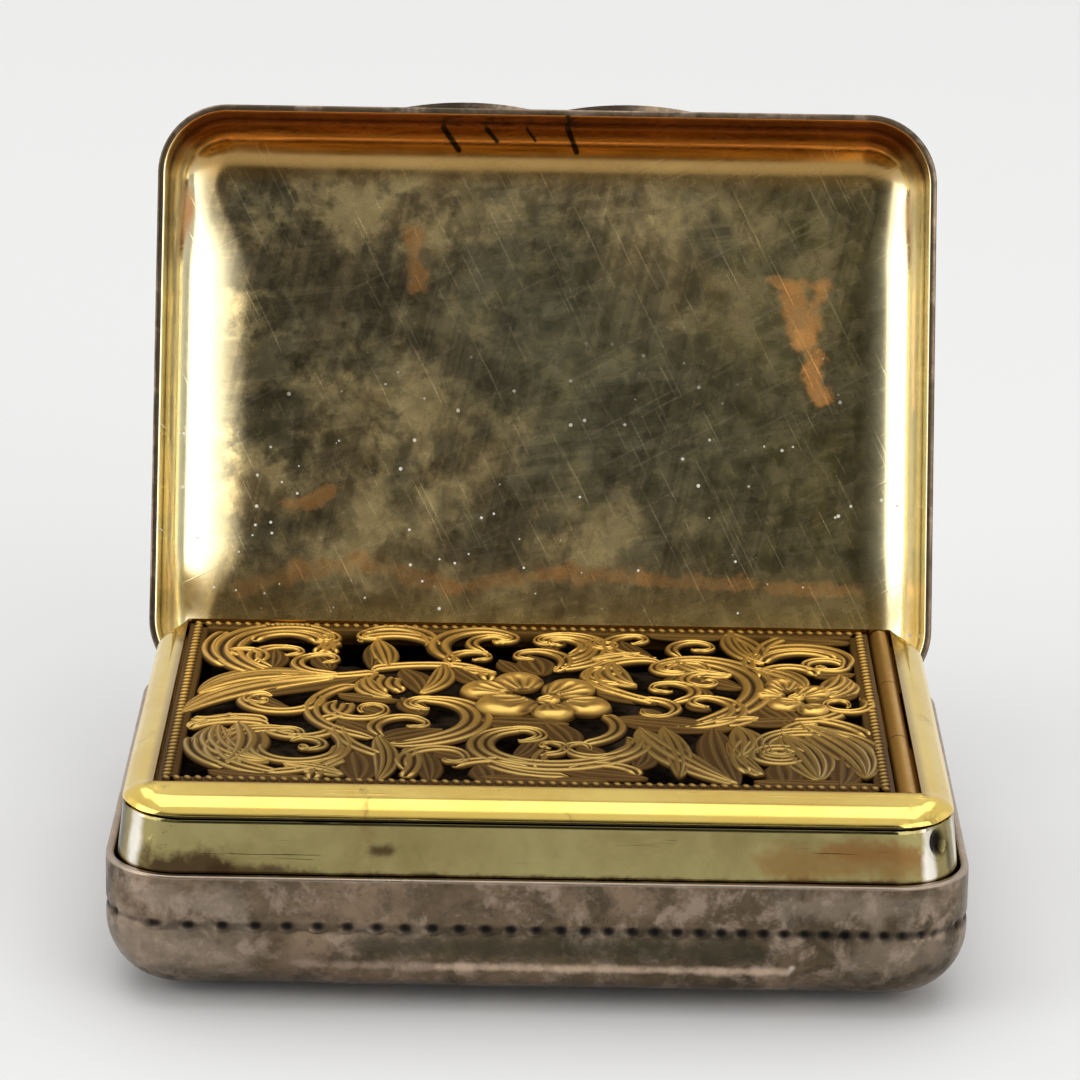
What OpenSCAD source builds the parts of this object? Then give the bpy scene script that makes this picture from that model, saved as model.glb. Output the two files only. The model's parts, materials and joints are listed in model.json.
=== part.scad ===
// Silver vinaigrette: a hinged box with a gilt inside, a pierced grille and a sponge.
// Millimetres. The origin is the middle of the panel it stands on, +Z is up and the hinge is at +Y.

/* [Box] */
// Width of the base and the lid
box_w = 36; // [32:0.5:44]
// Depth of the base and the lid, front to back
box_d = 27; // [25:0.5:34]
// Height of the base, from the table to its rim
base_h = 5.9; // [5:0.1:8]
// Height of the lid
lid_h = 5.4; // [5:0.1:8]
// Radius of the corners in plan
corner_r = 3.2; // [3:0.1:4]
// Radius rolled round the bottom of the base and the top of the lid
edge_r = 2.8; // [2:0.1:2.8]
// Thickness of the silver sheet
sheet_t = 0.35; // [0.3:0.05:0.4]
// Gap between the two rims with the lid shut
rim_gap = 0.05; // [0.02:0.01:0.1]

/* [Foot panel] */
// Width of the raised panel underneath
panel_w = 21.2; // [16:0.1:26]
// Depth of the raised panel underneath
panel_d = 19; // [14:0.1:20]
// Height of the raised panel
panel_t = 0.4; // [0.2:0.05:0.6]
// Radius of the panel's corners
panel_r = 2; // [1:0.1:4]

/* [Collar and frame plate] */
// Height of the frame plate's top above the base rim
collar_h = 3.2; // [2.6:0.1:3.4]
// Thickness of the collar
collar_t = 0.5; // [0.4:0.05:0.7]
// How far the collar goes down inside the base
collar_sink = 1.8; // [1:0.1:2]
// Gap between the collar and the wall of the lid or base
collar_gap = 0.12; // [0.08:0.01:0.15]
// How far the collar leans in from the rim to its top
collar_lean = 0.3; // [0.2:0.05:0.4]
// Thickness of the frame plate
frame_t = 0.6; // [0.5:0.05:0.8]
// Share of the frame plate's thickness that its outer edge is rounded by
frame_round = 0.9; // [0.5:0.05:0.9]
// How far the frame plate stands out past the collar
frame_lip = 0.06; // [0.02:0.01:0.08]
// Width of the frame plate's front rail
rail_front = 2; // [1.4:0.1:2.4]
// Width of the frame plate's back rail
rail_back = 0.7; // [0.6:0.1:1.2]
// Width of the frame plate's left rail
rail_left = 1.3; // [1.1:0.1:1.8]
// Width of the frame plate's right rail, beside the grille hinge
rail_right = 1.4; // [1.2:0.1:1.6]
// How far the grille rest reaches in under the grille
rest_w = 0.4; // [0.3:0.05:0.6]
// Thickness of the grille rest
rest_t = 0.4; // [0.3:0.05:0.6]

/* [Lid hinge] */
// How far the lid is open, in degrees
lid_open = 109.7; // [95:0.1:115]
// Radius of the lid hinge's knuckles
hinge_r = 0.7; // [0.6:0.05:0.7]
// Distance from either end of the lid hinge to the side of the box
hinge_end = 4; // [4:0.5:8]
// Radius of the lid hinge pin
pin_r = 0.25; // [0.2:0.05:0.3]
// Radial clearance of a hinge pin
pin_clear = 0.03; // [0.01:0.01:0.05]
// Gap between neighbouring knuckles
knuckle_gap = 0.08; // [0.05:0.01:0.15]
// Clearance of a knuckle in the groove of the other leaf
groove_clear = 0.1; // [0.05:0.01:0.15]
// Angle left between the bevelled rims where the open lid stops, in degrees
stop_angle = 1; // [0.5:0.1:2]
// Height of a hinge bearer, from the hinge axis to its far edge
bearer_h = 1.8; // [1.4:0.1:2.2]
// Distance of a hinge bearer's near edge from the hinge axis
bearer_off = 0.45; // [0.35:0.05:0.5]

/* [Thumbpiece] */
// Width of the thumbpiece
thumb_w = 14.4; // [10:0.2:18]
// How far the thumbpiece stands out of the lid
thumb_out = 0.3; // [0.25:0.05:0.6]
// Height of each lobe of the thumbpiece
thumb_h = 1.7; // [1.2:0.1:2]
// Width of the notch between its lobes
thumb_notch = 0.6; // [0.4:0.1:1]

/* [Grille] */
// Thickness of the grille
grille_t = 0.45; // [0.3:0.05:0.5]
// Play of the shut grille in height
grille_play = 0.02; // [0.01:0.01:0.03]
// Gap round the grille
grille_gap = 0.1; // [0.05:0.01:0.15]
// Width of the grille's flat rim
grille_rim = 0.8; // [0.6:0.05:1]
// Width of a scroll
scroll_w = 0.7; // [0.5:0.05:0.8]
// How far the piercing is filled in where strokes meet
joint_blend = 0.06; // [0.02:0.01:0.1]
// Height of the domed petals
petal_rise = 0.35; // [0.2:0.05:0.4]
// Flat edge left round a domed petal
petal_edge = 0.12; // [0.08:0.01:0.2]
// Radius of the beaded wire
bead_r = 0.2; // [0.15:0.01:0.25]
// Radius of the grille hinge's knuckles
grille_hinge_r = 0.45; // [0.4:0.05:0.5]
// Radius of the grille hinge pin
grille_pin_r = 0.2; // [0.15:0.01:0.25]
// How far a leaf of the grille hinge reaches out from its pin
grille_leaf_w = 1.2; // [1:0.1:1.4]
// Thickness of a leaf of the grille hinge
grille_leaf_t = 0.3; // [0.2:0.05:0.4]

/* [Sponge] */
// Gap left round the sponge
sponge_gap = 0.6; // [0.3:0.1:1]
// Radius of the sponge's corners
sponge_r = 2.5; // [2.2:0.1:4]
// Radius of the sponge's soft lower edge
sponge_soft = 2; // [1:0.1:2]
// Gap left under the grille, above the sponge
sponge_drop = 0.9; // [0.6:0.1:2]

/* [Hidden] */

$fn = 48;
silver = "silver";
gilt = "goldenrod";

// Lid hinge: its barrel lies flush with the back wall, level with the rim
hinge_y = box_d / 2 - hinge_r;
hinge_len = box_w - 2 * hinge_end;
knuckles = 5;
knuckle_len = (hinge_len - (knuckles - 1) * knuckle_gap) / knuckles;
bevel = (lid_open + stop_angle) / 2;

// Collar: it stays in front of the hinge barrel
collar_in = sheet_t + collar_gap;
collar_w = box_w - 2 * collar_in;
collar_front = -box_d / 2 + collar_in;
collar_back = box_d / 2 - 2 * hinge_r - groove_clear;
collar_d = collar_back - collar_front;
collar_y = (collar_back + collar_front) / 2;
collar_r = corner_r - collar_in;

// Frame plate and its opening
frame_top = base_h + collar_h;
frame_in = collar_lean - frame_lip;
frame_w = collar_w - 2 * frame_in;
frame_d = collar_d - 2 * frame_in;
frame_r = collar_r - frame_in;
open_left = -frame_w / 2 + rail_left;
open_right = frame_w / 2 - rail_right;
open_front = collar_y - frame_d / 2 + rail_front;
open_back = collar_y + frame_d / 2 - rail_back;

// Grille: it lies on the rest, with its hinge along its right side
grille_z = frame_top - frame_t + grille_play;
grille_top = grille_z + grille_t;
barrel_x = open_right - grille_gap / 2 - grille_hinge_r;
barrel_z = frame_top - grille_hinge_r - grille_play;
barrel_front = open_front + grille_gap;
barrel_len = open_back - open_front - 2 * grille_gap;
grille_knuckles = 3;
grille_knuckle_len = (barrel_len - (grille_knuckles - 1) * knuckle_gap) / grille_knuckles;
grille_left = open_left + grille_gap;
grille_right = barrel_x - grille_hinge_r - grille_gap;
grille_front = open_front + grille_gap;
grille_back = open_back - grille_gap;
grille_cx = (grille_left + grille_right) / 2;
grille_cy = (grille_front + grille_back) / 2;

// Sponge: it fills the well inside the collar
well_w = collar_w - 2 * (collar_t + collar_lean);
well_d = collar_d - 2 * (collar_t + collar_lean);
well_r = frame_r - collar_t;
floor_z = panel_t + sheet_t;

// Ornament, from the middle of a grille of the drawing's width and depth
DRAWING = [30.73, 21.65];
// How far an outline may lie off its curve, how full a leaf is and how wide its ends are left
stroke_sag = 0.03;
leaf_swell = 0.7;
leaf_tip = 0.05;
// Scroll: eye x, y, eye radius, tail radius, tail angle, sweep and how late it winds in (under 1 is early)
SCROLLS = [
  [-9.3, 8.7, 0.65, 5.75, 253, -193, 1], [-10.6, 6.6, 0.55, 2.2, 255, -180, 1],
  [-9, 5.6, 0.6, 1.95, 297, -210, 1], [-7, 9, 0.65, 2.85, 333, 150, 1],
  [-1.2, 8.9, 0.65, 3.7, 240, -185, 0.9], [1, 8.8, 0.65, 3.9, 267, 200, 0.9],
  [-2.2, 6.3, 0.55, 1.5, 236, -170, 1], [0, 6.5, 0.6, 2.2, 301, 180, 0.8],
  [4.8, 9, 0.6, 2.5, 292, -190, 0.8], [7.7, 8, 0.6, 1.4, 235, -200, 1],
  [13.4, 5.8, 0.75, 3.6, 150, -145, 1], [6.5, 5.1, 0.9, 8.1, 268, 232, 0.55],
  [6, 2.3, 0.65, 1.7, 275, 200, 1], [7.8, 3.2, 0.6, 1.4, 50, 200, 1],
  [7.7, 0.4, 0.7, 3.3, 254, 180, 0.7], [5.5, -0.8, 0.75, 1.8, 122, -150, 1],
  [13.6, 0.5, 0.65, 1.4, 50, -220, 1], [10.8, -5.8, 0.65, 4.1, -15, 190, 1.2],
  [-0.1, -4.3, 0.9, 5.4, 15, -270, 1], [2.3, -5.8, 0.65, 2.6, 40, -190, 0.8],
  [-10.2, -4.4, 0.6, 5.1, -85, -170, 1], [-4.5, -0.3, 0.75, 5.5, 254, 186, 0.75],
  [-6.8, -1.1, 0.7, 1.9, 141, 220, 1], [-4.8, -3, 0.55, 2, 231, -190, 1],
  [-3.1, -7.4, 0.6, 2.3, 215, -200, 1]];
// Stem: centre x, y, radius, angle and sweep
STEMS = [
  [-10.1, 10.7, 7.45, 258, 40], [-4.2, -0.7, 5.85, 118, -36], [-3.6, 3.3, 1.85, 92, -95],
  [5.3, 3.8, 2.5, 75, 180], [13.4, 5.8, 3.6, 207, -57], [-11.1, -5.9, 3.4, 42, -132],
  [-10.7, 0.1, 1.6, 165, 220], [-5.5, -1, 3.85, 120, 135]];
// Leaf: foot x, y, tip x, y, width and bend
LEAVES = [
  [-8.4, 3.2, -14.9, -1.9, 1.5, -1.3], [4.8, -3.1, 8.8, -10, 1.5, -0.4],
  [-7.1, 3.1, -5.9, 0.4, 1, -0.4], [-3.8, 5, -4.7, 1.1, 0.9, 0.4],
  [9.2, 10.6, 10.5, 5.9, 0.9, -0.5], [10, 5.2, 12.1, 2.6, 1.4, 0.5],
  [13.8, 4.4, 12.8, 2.1, 1.2, 0.3], [3.8, 5.7, 4.8, 2.5, 1.2, -0.5],
  [11.8, -2.4, 14.2, -9, 2, 0.9], [-13.2, -3.5, -10.8, -8.1, 1.8, -1],
  [9, -2.7, 8.9, -6.7, 1.3, 0.5], [-6.4, -4.7, -6.2, -10.2, 0.9, 0.4],
  [-6.8, 8.4, -6.2, 4.7, 1, 0.1]];
// Flower: centre x, y, distance of the petals, petal radius, petals and first angle
FLOWERS = [[0.6, 0.7, 2, 1.25, 6, 112], [11.8, 1, 1.1, 0.8, 5, 90]];

function ease(t) = t * t * (3 - 2 * t);
function turns(r, sweep) = ceil(abs(sweep) * PI / 180 / sqrt(8 * stroke_sag / r));
function scroll_point(s, t) =
  let (r = s[3] + (s[2] - s[3]) * ease(pow(t, s[6])), a = s[4] + s[5] * t)
  [s[0] + r * cos(a), s[1] + r * sin(a)];
function normal(p, i) =
  let (d = p[min(i + 1, len(p) - 1)] - p[max(i - 1, 0)]) [-d[1], d[0]] / norm(d);

// A profile with x outwards from the corner centres, carried round a rounded rectangle
module around(w, d, r) {
  lx = w - 2 * r;
  ly = d - 2 * r;
  for (q = [0:3]) {
    sx = q == 0 || q == 3 ? 1 : -1;
    sy = q < 2 ? 1 : -1;
    translate([sx * lx / 2, sy * ly / 2, 0]) rotate(90 * q) rotate_extrude(angle = 90) children();
    side = q % 2 == 0 ? ly : lx;
    reach = q % 2 == 0 ? lx / 2 : ly / 2;
    rotate(90 * q) translate([reach, side / 2, 0]) rotate([90, 0, 0]) linear_extrude(side) children();
  }
}

// Section of a pressed shell from the corner centres outwards, with its lower edge rolled
module rolled(r, e, h) {
  intersection() {
    square([r, h]);
    union() {
      square([r - e, h]);
      translate([0, e]) square([r, h]);
      translate([r - e, e]) circle(e);
    }
  }
}

// Open pressed shell standing on z = 0: a flat bottom, rolled edges and upright walls
module pressed_shell(h) {
  around(box_w, box_d, corner_r) difference() {
    rolled(corner_r, edge_r, h);
    translate([0, sheet_t]) rolled(corner_r - sheet_t, edge_r - sheet_t, h);
  }
  translate([corner_r - box_w / 2, corner_r - box_d / 2, 0])
    cube([box_w - 2 * corner_r, box_d - 2 * corner_r, sheet_t]);
}

// Flat plate with round corners
module round_plate(w, d, r, h) {
  linear_extrude(h) {
    square([w - 2 * r, d], center = true);
    square([w, d - 2 * r], center = true);
    for (sx = [-1, 1], sy = [-1, 1]) translate([sx * (w / 2 - r), sy * (d / 2 - r)]) circle(r);
  }
}

// Solid plate with round corners whose lower edge is rounded by e
module pillow(w, d, r, e, h) {
  around(w, d, r) rolled(r, e, h);
  translate([r - w / 2, r - d / 2, 0]) cube([w - 2 * r, d - 2 * r, h]);
}

// Rod along X through the lid hinge
module hinge_rod(x, length, r) {
  translate([x - length / 2, hinge_y, base_h]) rotate([0, 90, 0]) cylinder(length, r, r);
}

// Middle of knuckle k of the lid hinge, counted from the left. Even ones belong to the base
function knuckle_x(k) = (k - (knuckles - 1) / 2) * (knuckle_len + knuckle_gap);

module knuckle(k) {
  difference() {
    hinge_rod(knuckle_x(k), knuckle_len, hinge_r);
    hinge_rod(knuckle_x(k), knuckle_len + 1, pin_r + pin_clear);
  }
}

// Room taken out of a leaf behind the hinge: a bevel along the rim. side is 1 for the lid
module bevel_cut(side) {
  reach = 3 * hinge_r;
  translate([-box_w / 2, hinge_y, base_h]) rotate([90, 0, 90]) linear_extrude(box_w)
    polygon([[0, 0], [reach, side * reach * tan(bevel)], [reach, -side * reach], [0, -side * reach]]);
}

// Groove for the barrel: tight on a leaf's own knuckles and clear of the other leaf's
module barrel_groove(own) {
  for (k = [0:knuckles - 1])
    hinge_rod(knuckle_x(k), knuckle_len + 2 * knuckle_gap, hinge_r + (k % 2 == own ? 0 : groove_clear));
}

// Strip inside the back wall that carries a leaf's knuckles
module bearer(side) {
  depth = box_d / 2 - sheet_t - collar_back - groove_clear;
  z = side > 0 ? base_h + bearer_off : base_h - bearer_h;
  difference() {
    translate([-hinge_len / 2, box_d / 2 - sheet_t - depth, z])
      cube([hinge_len, depth, bearer_h - bearer_off]);
    bevel_cut(side);
    barrel_groove(side > 0 ? 1 : 0);
  }
}

// Turns the lid's pieces from shut to open about the hinge
module opened() {
  translate([0, hinge_y, base_h]) rotate([-lid_open, 0, 0]) translate([0, -hinge_y, -base_h]) children();
}

module base_tray() {
  color(silver) {
    difference() {
      translate([0, 0, panel_t]) pressed_shell(base_h - panel_t);
      bevel_cut(-1);
      hinge_rod(0, hinge_len, hinge_r + groove_clear);
    }
    pillow(panel_w, panel_d, panel_r, panel_t / 2, panel_t);
  }
}

module collar_band() {
  wall_h = collar_h - frame_t;
  color(gilt) translate([0, collar_y, base_h]) around(collar_w, collar_d, collar_r)
    polygon([[collar_r - collar_t, -collar_sink], [collar_r, -collar_sink], [collar_r, 0],
             [collar_r - collar_lean, wall_h], [collar_r - collar_lean - collar_t, wall_h],
             [collar_r - collar_t, 0]]);
}

module frame_plate() {
  color(gilt) difference() {
    translate([0, collar_y, frame_top]) mirror([0, 0, 1])
      pillow(frame_w, frame_d, frame_r, frame_t * frame_round, frame_t);
    translate([open_left, open_front, frame_top - frame_t - 1])
      cube([open_right - open_left, open_back - open_front, frame_t + 2]);
  }
}

module grille_rest() {
  color(gilt) difference() {
    translate([0, collar_y, frame_top - frame_t - rest_t])
      round_plate(well_w, well_d, well_r, rest_t);
    translate([open_left + rest_w, open_front + rest_w, 0])
      cube([box_w, open_back - open_front - 2 * rest_w, frame_top]);
    translate([grille_right - grille_leaf_w, -box_d, 0]) cube([box_w, 2 * box_d, frame_top]);
  }
}

// Rod along Y through the grille hinge
module grille_rod(y, length, r) {
  translate([barrel_x, y, barrel_z]) rotate([-90, 0, 0]) cylinder(length, r, r);
}

// Knuckle k of the grille hinge, counted from the front, with its leaf to one side
module grille_hinge_knuckle(k, side, leaf_top) {
  y = barrel_front + k * (grille_knuckle_len + knuckle_gap);
  difference() {
    union() {
      grille_rod(y, grille_knuckle_len, grille_hinge_r);
      translate([barrel_x - (side > 0 ? 0 : grille_leaf_w), y, leaf_top - grille_leaf_t])
        cube([grille_leaf_w, grille_knuckle_len, grille_leaf_t]);
    }
    grille_rod(y - 1, grille_knuckle_len + 2, grille_pin_r + pin_clear);
  }
}

// Knuckle under the frame plate's right rail, trimmed to the well's round corners
module frame_knuckle(k) {
  intersection() {
    grille_hinge_knuckle(k, 1, frame_top - frame_t);
    translate([0, collar_y, 0]) round_plate(well_w, well_d, well_r, frame_top);
  }
}

module frame_knuckle_front() {
  color(gilt) frame_knuckle(0);
}

module frame_knuckle_back() {
  color(gilt) frame_knuckle(2);
}

module grille_knuckle() {
  color(gilt) grille_hinge_knuckle(1, -1, grille_z);
}

module grille_hinge_pin() {
  color(gilt) grille_rod(barrel_front, barrel_len, grille_pin_r);
}

module sponge() {
  top = frame_top - frame_t - sponge_drop;
  color("saddlebrown") translate([0, collar_y, floor_z])
    pillow(well_w - 2 * sponge_gap, well_d - 2 * sponge_gap, sponge_r, sponge_soft, top - floor_z);
}

module base_hinge_bearer() {
  color(silver) bearer(-1);
}

module base_knuckle_left() {
  color(silver) knuckle(0);
}

module base_knuckle_centre() {
  color(silver) knuckle(2);
}

module base_knuckle_right() {
  color(silver) knuckle(4);
}

module lid_hinge_pin() {
  color(silver) hinge_rod(0, hinge_len, pin_r);
}

module lid_shell() {
  color(silver) opened() difference() {
    translate([0, 0, base_h + rim_gap + lid_h]) mirror([0, 0, 1]) pressed_shell(lid_h);
    bevel_cut(1);
    hinge_rod(0, hinge_len, hinge_r + groove_clear);
  }
}

module lid_hinge_bearer() {
  color(silver) opened() bearer(1);
}

module lid_knuckle_left() {
  color(silver) opened() knuckle(1);
}

module lid_knuckle_right() {
  color(silver) opened() knuckle(3);
}

// One lobe of the thumbpiece: bowed in plan and leaf-shaped from the front
module thumb_lobe(x) {
  bow = thumb_w / 4;
  chord = thumb_w / 2 - thumb_notch / 2;
  bow_r = (bow * bow + thumb_out * thumb_out) / (2 * thumb_out);
  leaf_r = (chord * chord + thumb_h * thumb_h) / (4 * thumb_h);
  wall_y = -box_d / 2;
  z = base_h + rim_gap + thumb_h / 2 + sheet_t;
  intersection() {
    translate([x, wall_y - thumb_out + bow_r, z - thumb_h]) cylinder(2 * thumb_h, bow_r, bow_r, $fn = 480);
    translate([x, wall_y, z - leaf_r + thumb_h / 2]) rotate([90, 0, 0])
      cylinder(2 * thumb_out, leaf_r, leaf_r, $fn = 480);
    translate([x, wall_y, z + leaf_r - thumb_h / 2]) rotate([90, 0, 0])
      cylinder(2 * thumb_out, leaf_r, leaf_r, $fn = 480);
  }
}

module thumbpiece() {
  color(silver) opened() for (s = [-1, 1]) thumb_lobe(s * (thumb_w + thumb_notch) / 4);
}

// Flat ribbon along a path
module ribbon(path, w) {
  last = len(path) - 1;
  polygon(concat([for (i = [0:last]) path[i] + normal(path, i) * w / 2],
                 [for (i = [last:-1:0]) path[i] - normal(path, i) * w / 2]));
}

// Scroll that winds into a ring-shaped eye
module scroll(s) {
  steps = turns(s[3], s[5]);
  ribbon([for (i = [0:steps]) scroll_point(s, i / steps)], scroll_w);
  translate([s[0], s[1]]) difference() {
    circle(s[2] + scroll_w / 2);
    circle(s[2] - scroll_w / 2);
  }
}

function stem_point(s, a) = [s[0] + s[2] * cos(a), s[1] + s[2] * sin(a)];

module stem(s) {
  steps = turns(s[2], s[4]);
  ribbon([for (i = [0:steps]) stem_point(s, s[3] + s[4] * i / steps)], scroll_w);
}

// Pointed leaf whose midrib bends to one side
module leaf(f) {
  foot = [f[0], f[1]];
  tip = [f[2], f[3]];
  across = [foot[1] - tip[1], tip[0] - foot[0]] / norm(tip - foot);
  steps = 7;
  rib = [for (i = [0:steps]) let (t = i / steps) foot + (tip - foot) * t + across * f[5] * 4 * t * (1 - t)];
  half = [for (i = [0:steps]) f[4] / 2 * pow(sin(180 * i / steps), leaf_swell) + leaf_tip];
  polygon(concat([for (i = [0:steps]) rib[i] + across * half[i]],
                 [for (i = [steps:-1:0]) rib[i] - across * half[i]]));
}

// Places of the petals of a flower, from the middle of the grille
function petals(f) =
  [for (k = [0:f[4] - 1]) let (a = f[5] + 360 * k / f[4]) [f[0] + f[2] * cos(a), f[1] + f[2] * sin(a)]];

// Domed petal
module petal(r) {
  dome_r = (r * r + petal_rise * petal_rise) / (2 * petal_rise);
  intersection() {
    translate([0, 0, petal_rise - dome_r]) sphere(dome_r);
    translate([-2 * r, -2 * r, 0]) cube([4 * r, 4 * r, 2 * petal_rise]);
  }
}

module grille_scrollwork() {
  w = grille_right - grille_left;
  d = grille_back - grille_front;
  kx = w / DRAWING[0];
  ky = d / DRAWING[1];
  color(gilt) translate([grille_cx, grille_cy, grille_z]) {
    linear_extrude(grille_t) offset(delta = -joint_blend) offset(delta = joint_blend) {
      difference() {
        square([w, d], center = true);
        square([w - 2 * grille_rim, d - 2 * grille_rim], center = true);
      }
      intersection() {
        square([w, d], center = true);
        scale([kx, ky]) {
          for (s = SCROLLS) scroll(s, $fn = 16);
          for (s = STEMS) stem(s);
          for (f = LEAVES) leaf(f);
          for (f = FLOWERS, p = petals(f)) translate(p) circle(f[3], $fn = 20);
        }
      }
    }
    for (f = FLOWERS, p = petals(f))
      translate([p[0] * kx, p[1] * ky, grille_t]) petal(f[3] * min(kx, ky) - petal_edge);
  }
}

module grille_border() {
  w = grille_right - grille_left - grille_rim;
  d = grille_back - grille_front - grille_rim;
  wire_r = 2 * bead_r;
  color(gilt) translate([grille_cx, grille_cy, grille_top]) around(w, d, wire_r) intersection() {
    translate([wire_r, 0]) circle(bead_r);
    square([2 * wire_r, bead_r]);
  }
}

base_tray();
collar_band();
frame_plate();
grille_rest();
frame_knuckle_front();
frame_knuckle_back();
sponge();
base_hinge_bearer();
base_knuckle_left();
base_knuckle_centre();
base_knuckle_right();
lid_hinge_pin();
lid_shell();
lid_hinge_bearer();
lid_knuckle_left();
lid_knuckle_right();
thumbpiece();
grille_scrollwork();
grille_border();
grille_knuckle();
grille_hinge_pin();
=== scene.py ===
"""Silver vinaigrette: worn silver outside, gilt inside, with a pierced and chased grille over a sponge."""
import json

import bmesh
import bpy
import numpy as np
from mathutils import Matrix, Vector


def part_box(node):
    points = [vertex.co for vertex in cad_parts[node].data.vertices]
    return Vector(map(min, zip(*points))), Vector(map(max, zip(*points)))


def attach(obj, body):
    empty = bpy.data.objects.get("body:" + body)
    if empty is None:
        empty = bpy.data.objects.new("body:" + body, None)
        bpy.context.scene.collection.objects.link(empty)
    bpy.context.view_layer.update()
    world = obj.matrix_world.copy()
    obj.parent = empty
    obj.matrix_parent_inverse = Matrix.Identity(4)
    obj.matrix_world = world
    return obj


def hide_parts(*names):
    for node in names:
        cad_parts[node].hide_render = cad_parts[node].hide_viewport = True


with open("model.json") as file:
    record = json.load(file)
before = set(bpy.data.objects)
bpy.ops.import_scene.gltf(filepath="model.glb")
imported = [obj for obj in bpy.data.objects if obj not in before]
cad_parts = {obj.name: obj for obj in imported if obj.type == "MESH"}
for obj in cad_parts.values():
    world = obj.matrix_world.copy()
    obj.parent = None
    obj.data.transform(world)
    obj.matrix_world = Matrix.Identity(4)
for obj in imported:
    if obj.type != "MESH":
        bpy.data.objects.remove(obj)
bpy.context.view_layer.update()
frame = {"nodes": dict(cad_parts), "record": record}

# Sizes in millimetres, the same as the solids'
MM = 0.001
BOX_W, BOX_D, BASE_H, LID_H = 36.0, 27.0, 5.9, 5.4
CORNER_R, EDGE_R, SHEET, RIM_GAP = 3.2, 2.8, 0.35, 0.05
PANEL_W, PANEL_D, PANEL_R, PANEL_EDGE, PANEL_T = 21.2, 19.0, 2.0, 0.2, 0.4
HINGE_Y, HINGE_R, HINGE_LEN, GROOVE, LID_OPEN, BEVEL = 12.8, 0.7, 28.0, 0.1, 109.7, 55.35
COLLAR_W, COLLAR_D, COLLAR_R, COLLAR_Y, COLLAR_T = 35.06, 25.03, 2.73, -0.515, 0.5
FRAME_W, FRAME_D, FRAME_R, FRAME_TOP, FRAME_T = 34.58, 24.55, 2.49, 9.1, 0.6
OPENING = (-15.99, 15.89, -10.79, 11.06)
GRILLE_W, GRILLE_D, GRILLE_T, GRILLE_RIM, GRILLE_R = 30.73, 21.65, 0.45, 0.85, 0.25
GRILLE_PLACE = np.array((-0.525, 0.135, 8.52))

# Sizes of the surface work. Punched dots: pitch, radius, depth and distance below the rim
DOT_PITCH, DOT_R, DOT_DEPTH, DOT_DROP = 1.0, 0.26, 0.13, 2.15
# Collar: size and depth of the knock, how far the corners are drawn in at the top, and unevenness
KNOCK_SIZE, KNOCK_DEPTH, CORNER_DRAW, COLLAR_WAVE = (0.46, 0.46, 0.54), 0.25, 0.16, 0.012
# Frame plate: slope of its rails, width and depth of its rolled edge
RAIL_SLOPE, ROLL_W, ROLL_D = 0.22, 0.85, 0.64
# Strokes of the grille: height of their underside above the grille's, thickness, pitch of their ridges, and the
# thickness of low leaves as a share, which also darkens them as painted shade
STROKE_LOW, STROKE_T, REED_PITCH, SPRAY_SHARE = 0.27, 0.28, 0.48, 0.7
# Beads: pitch, half length, half width, height and turn against their line
BEAD_PITCH, BEAD_LONG, BEAD_WIDE, BEAD_H, BEAD_TURN = 0.44, 0.26, 0.17, 0.14, 30

# Ornament, from the middle of the grille. Scroll: eye x, y, eye radius, tail radius, tail angle, sweep and how
# late it closes
SCROLLS = np.array([
    (-9.3, 8.7, 0.65, 5.75, 253, -193, 1), (-10.6, 6.6, 0.55, 2.2, 255, -180, 1),
    (-9, 5.6, 0.6, 1.95, 297, -210, 1), (-7, 9, 0.65, 2.85, 333, 150, 1),
    (-1.2, 8.9, 0.65, 3.7, 240, -185, 0.9), (1, 8.8, 0.65, 3.9, 267, 200, 0.9),
    (-2.2, 6.3, 0.55, 1.5, 236, -170, 1), (0, 6.5, 0.6, 2.2, 301, 180, 0.8), (4.8, 9, 0.6, 2.5, 292, -190, 0.8),
    (7.7, 8, 0.6, 1.4, 235, -200, 1), (13.4, 5.8, 0.75, 3.6, 150, -145, 1),
    (6.5, 5.1, 0.9, 8.1, 268, 232, 0.55), (6, 2.3, 0.65, 1.7, 275, 200, 1), (7.8, 3.2, 0.6, 1.4, 50, 200, 1),
    (7.7, 0.4, 0.7, 3.3, 254, 180, 0.7), (5.5, -0.8, 0.75, 1.8, 122, -150, 1),
    (13.6, 0.5, 0.65, 1.4, 50, -220, 1), (10.8, -5.8, 0.65, 4.1, -15, 190, 1.2),
    (-0.1, -4.3, 0.9, 5.4, 15, -270, 1), (2.3, -5.8, 0.65, 2.6, 40, -190, 0.8),
    (-10.2, -4.4, 0.6, 5.1, -85, -170, 1), (-4.5, -0.3, 0.75, 5.5, 254, 186, 0.75),
    (-6.8, -1.1, 0.7, 1.9, 141, 220, 1), (-4.8, -3, 0.55, 2, 231, -190, 1),
    (-3.1, -7.4, 0.6, 2.3, 215, -200, 1)])
# Stem: centre x, y, radius, angle and sweep
STEMS = np.array([
    (-10.1, 10.7, 7.45, 258, 40), (-4.2, -0.7, 5.85, 118, -36), (-3.6, 3.3, 1.85, 92, -95),
    (5.3, 3.8, 2.5, 75, 180), (13.4, 5.8, 3.6, 207, -57), (-11.1, -5.9, 3.4, 42, -132),
    (-10.7, 0.1, 1.6, 165, 220), (-5.5, -1, 3.85, 120, 135)])
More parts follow.
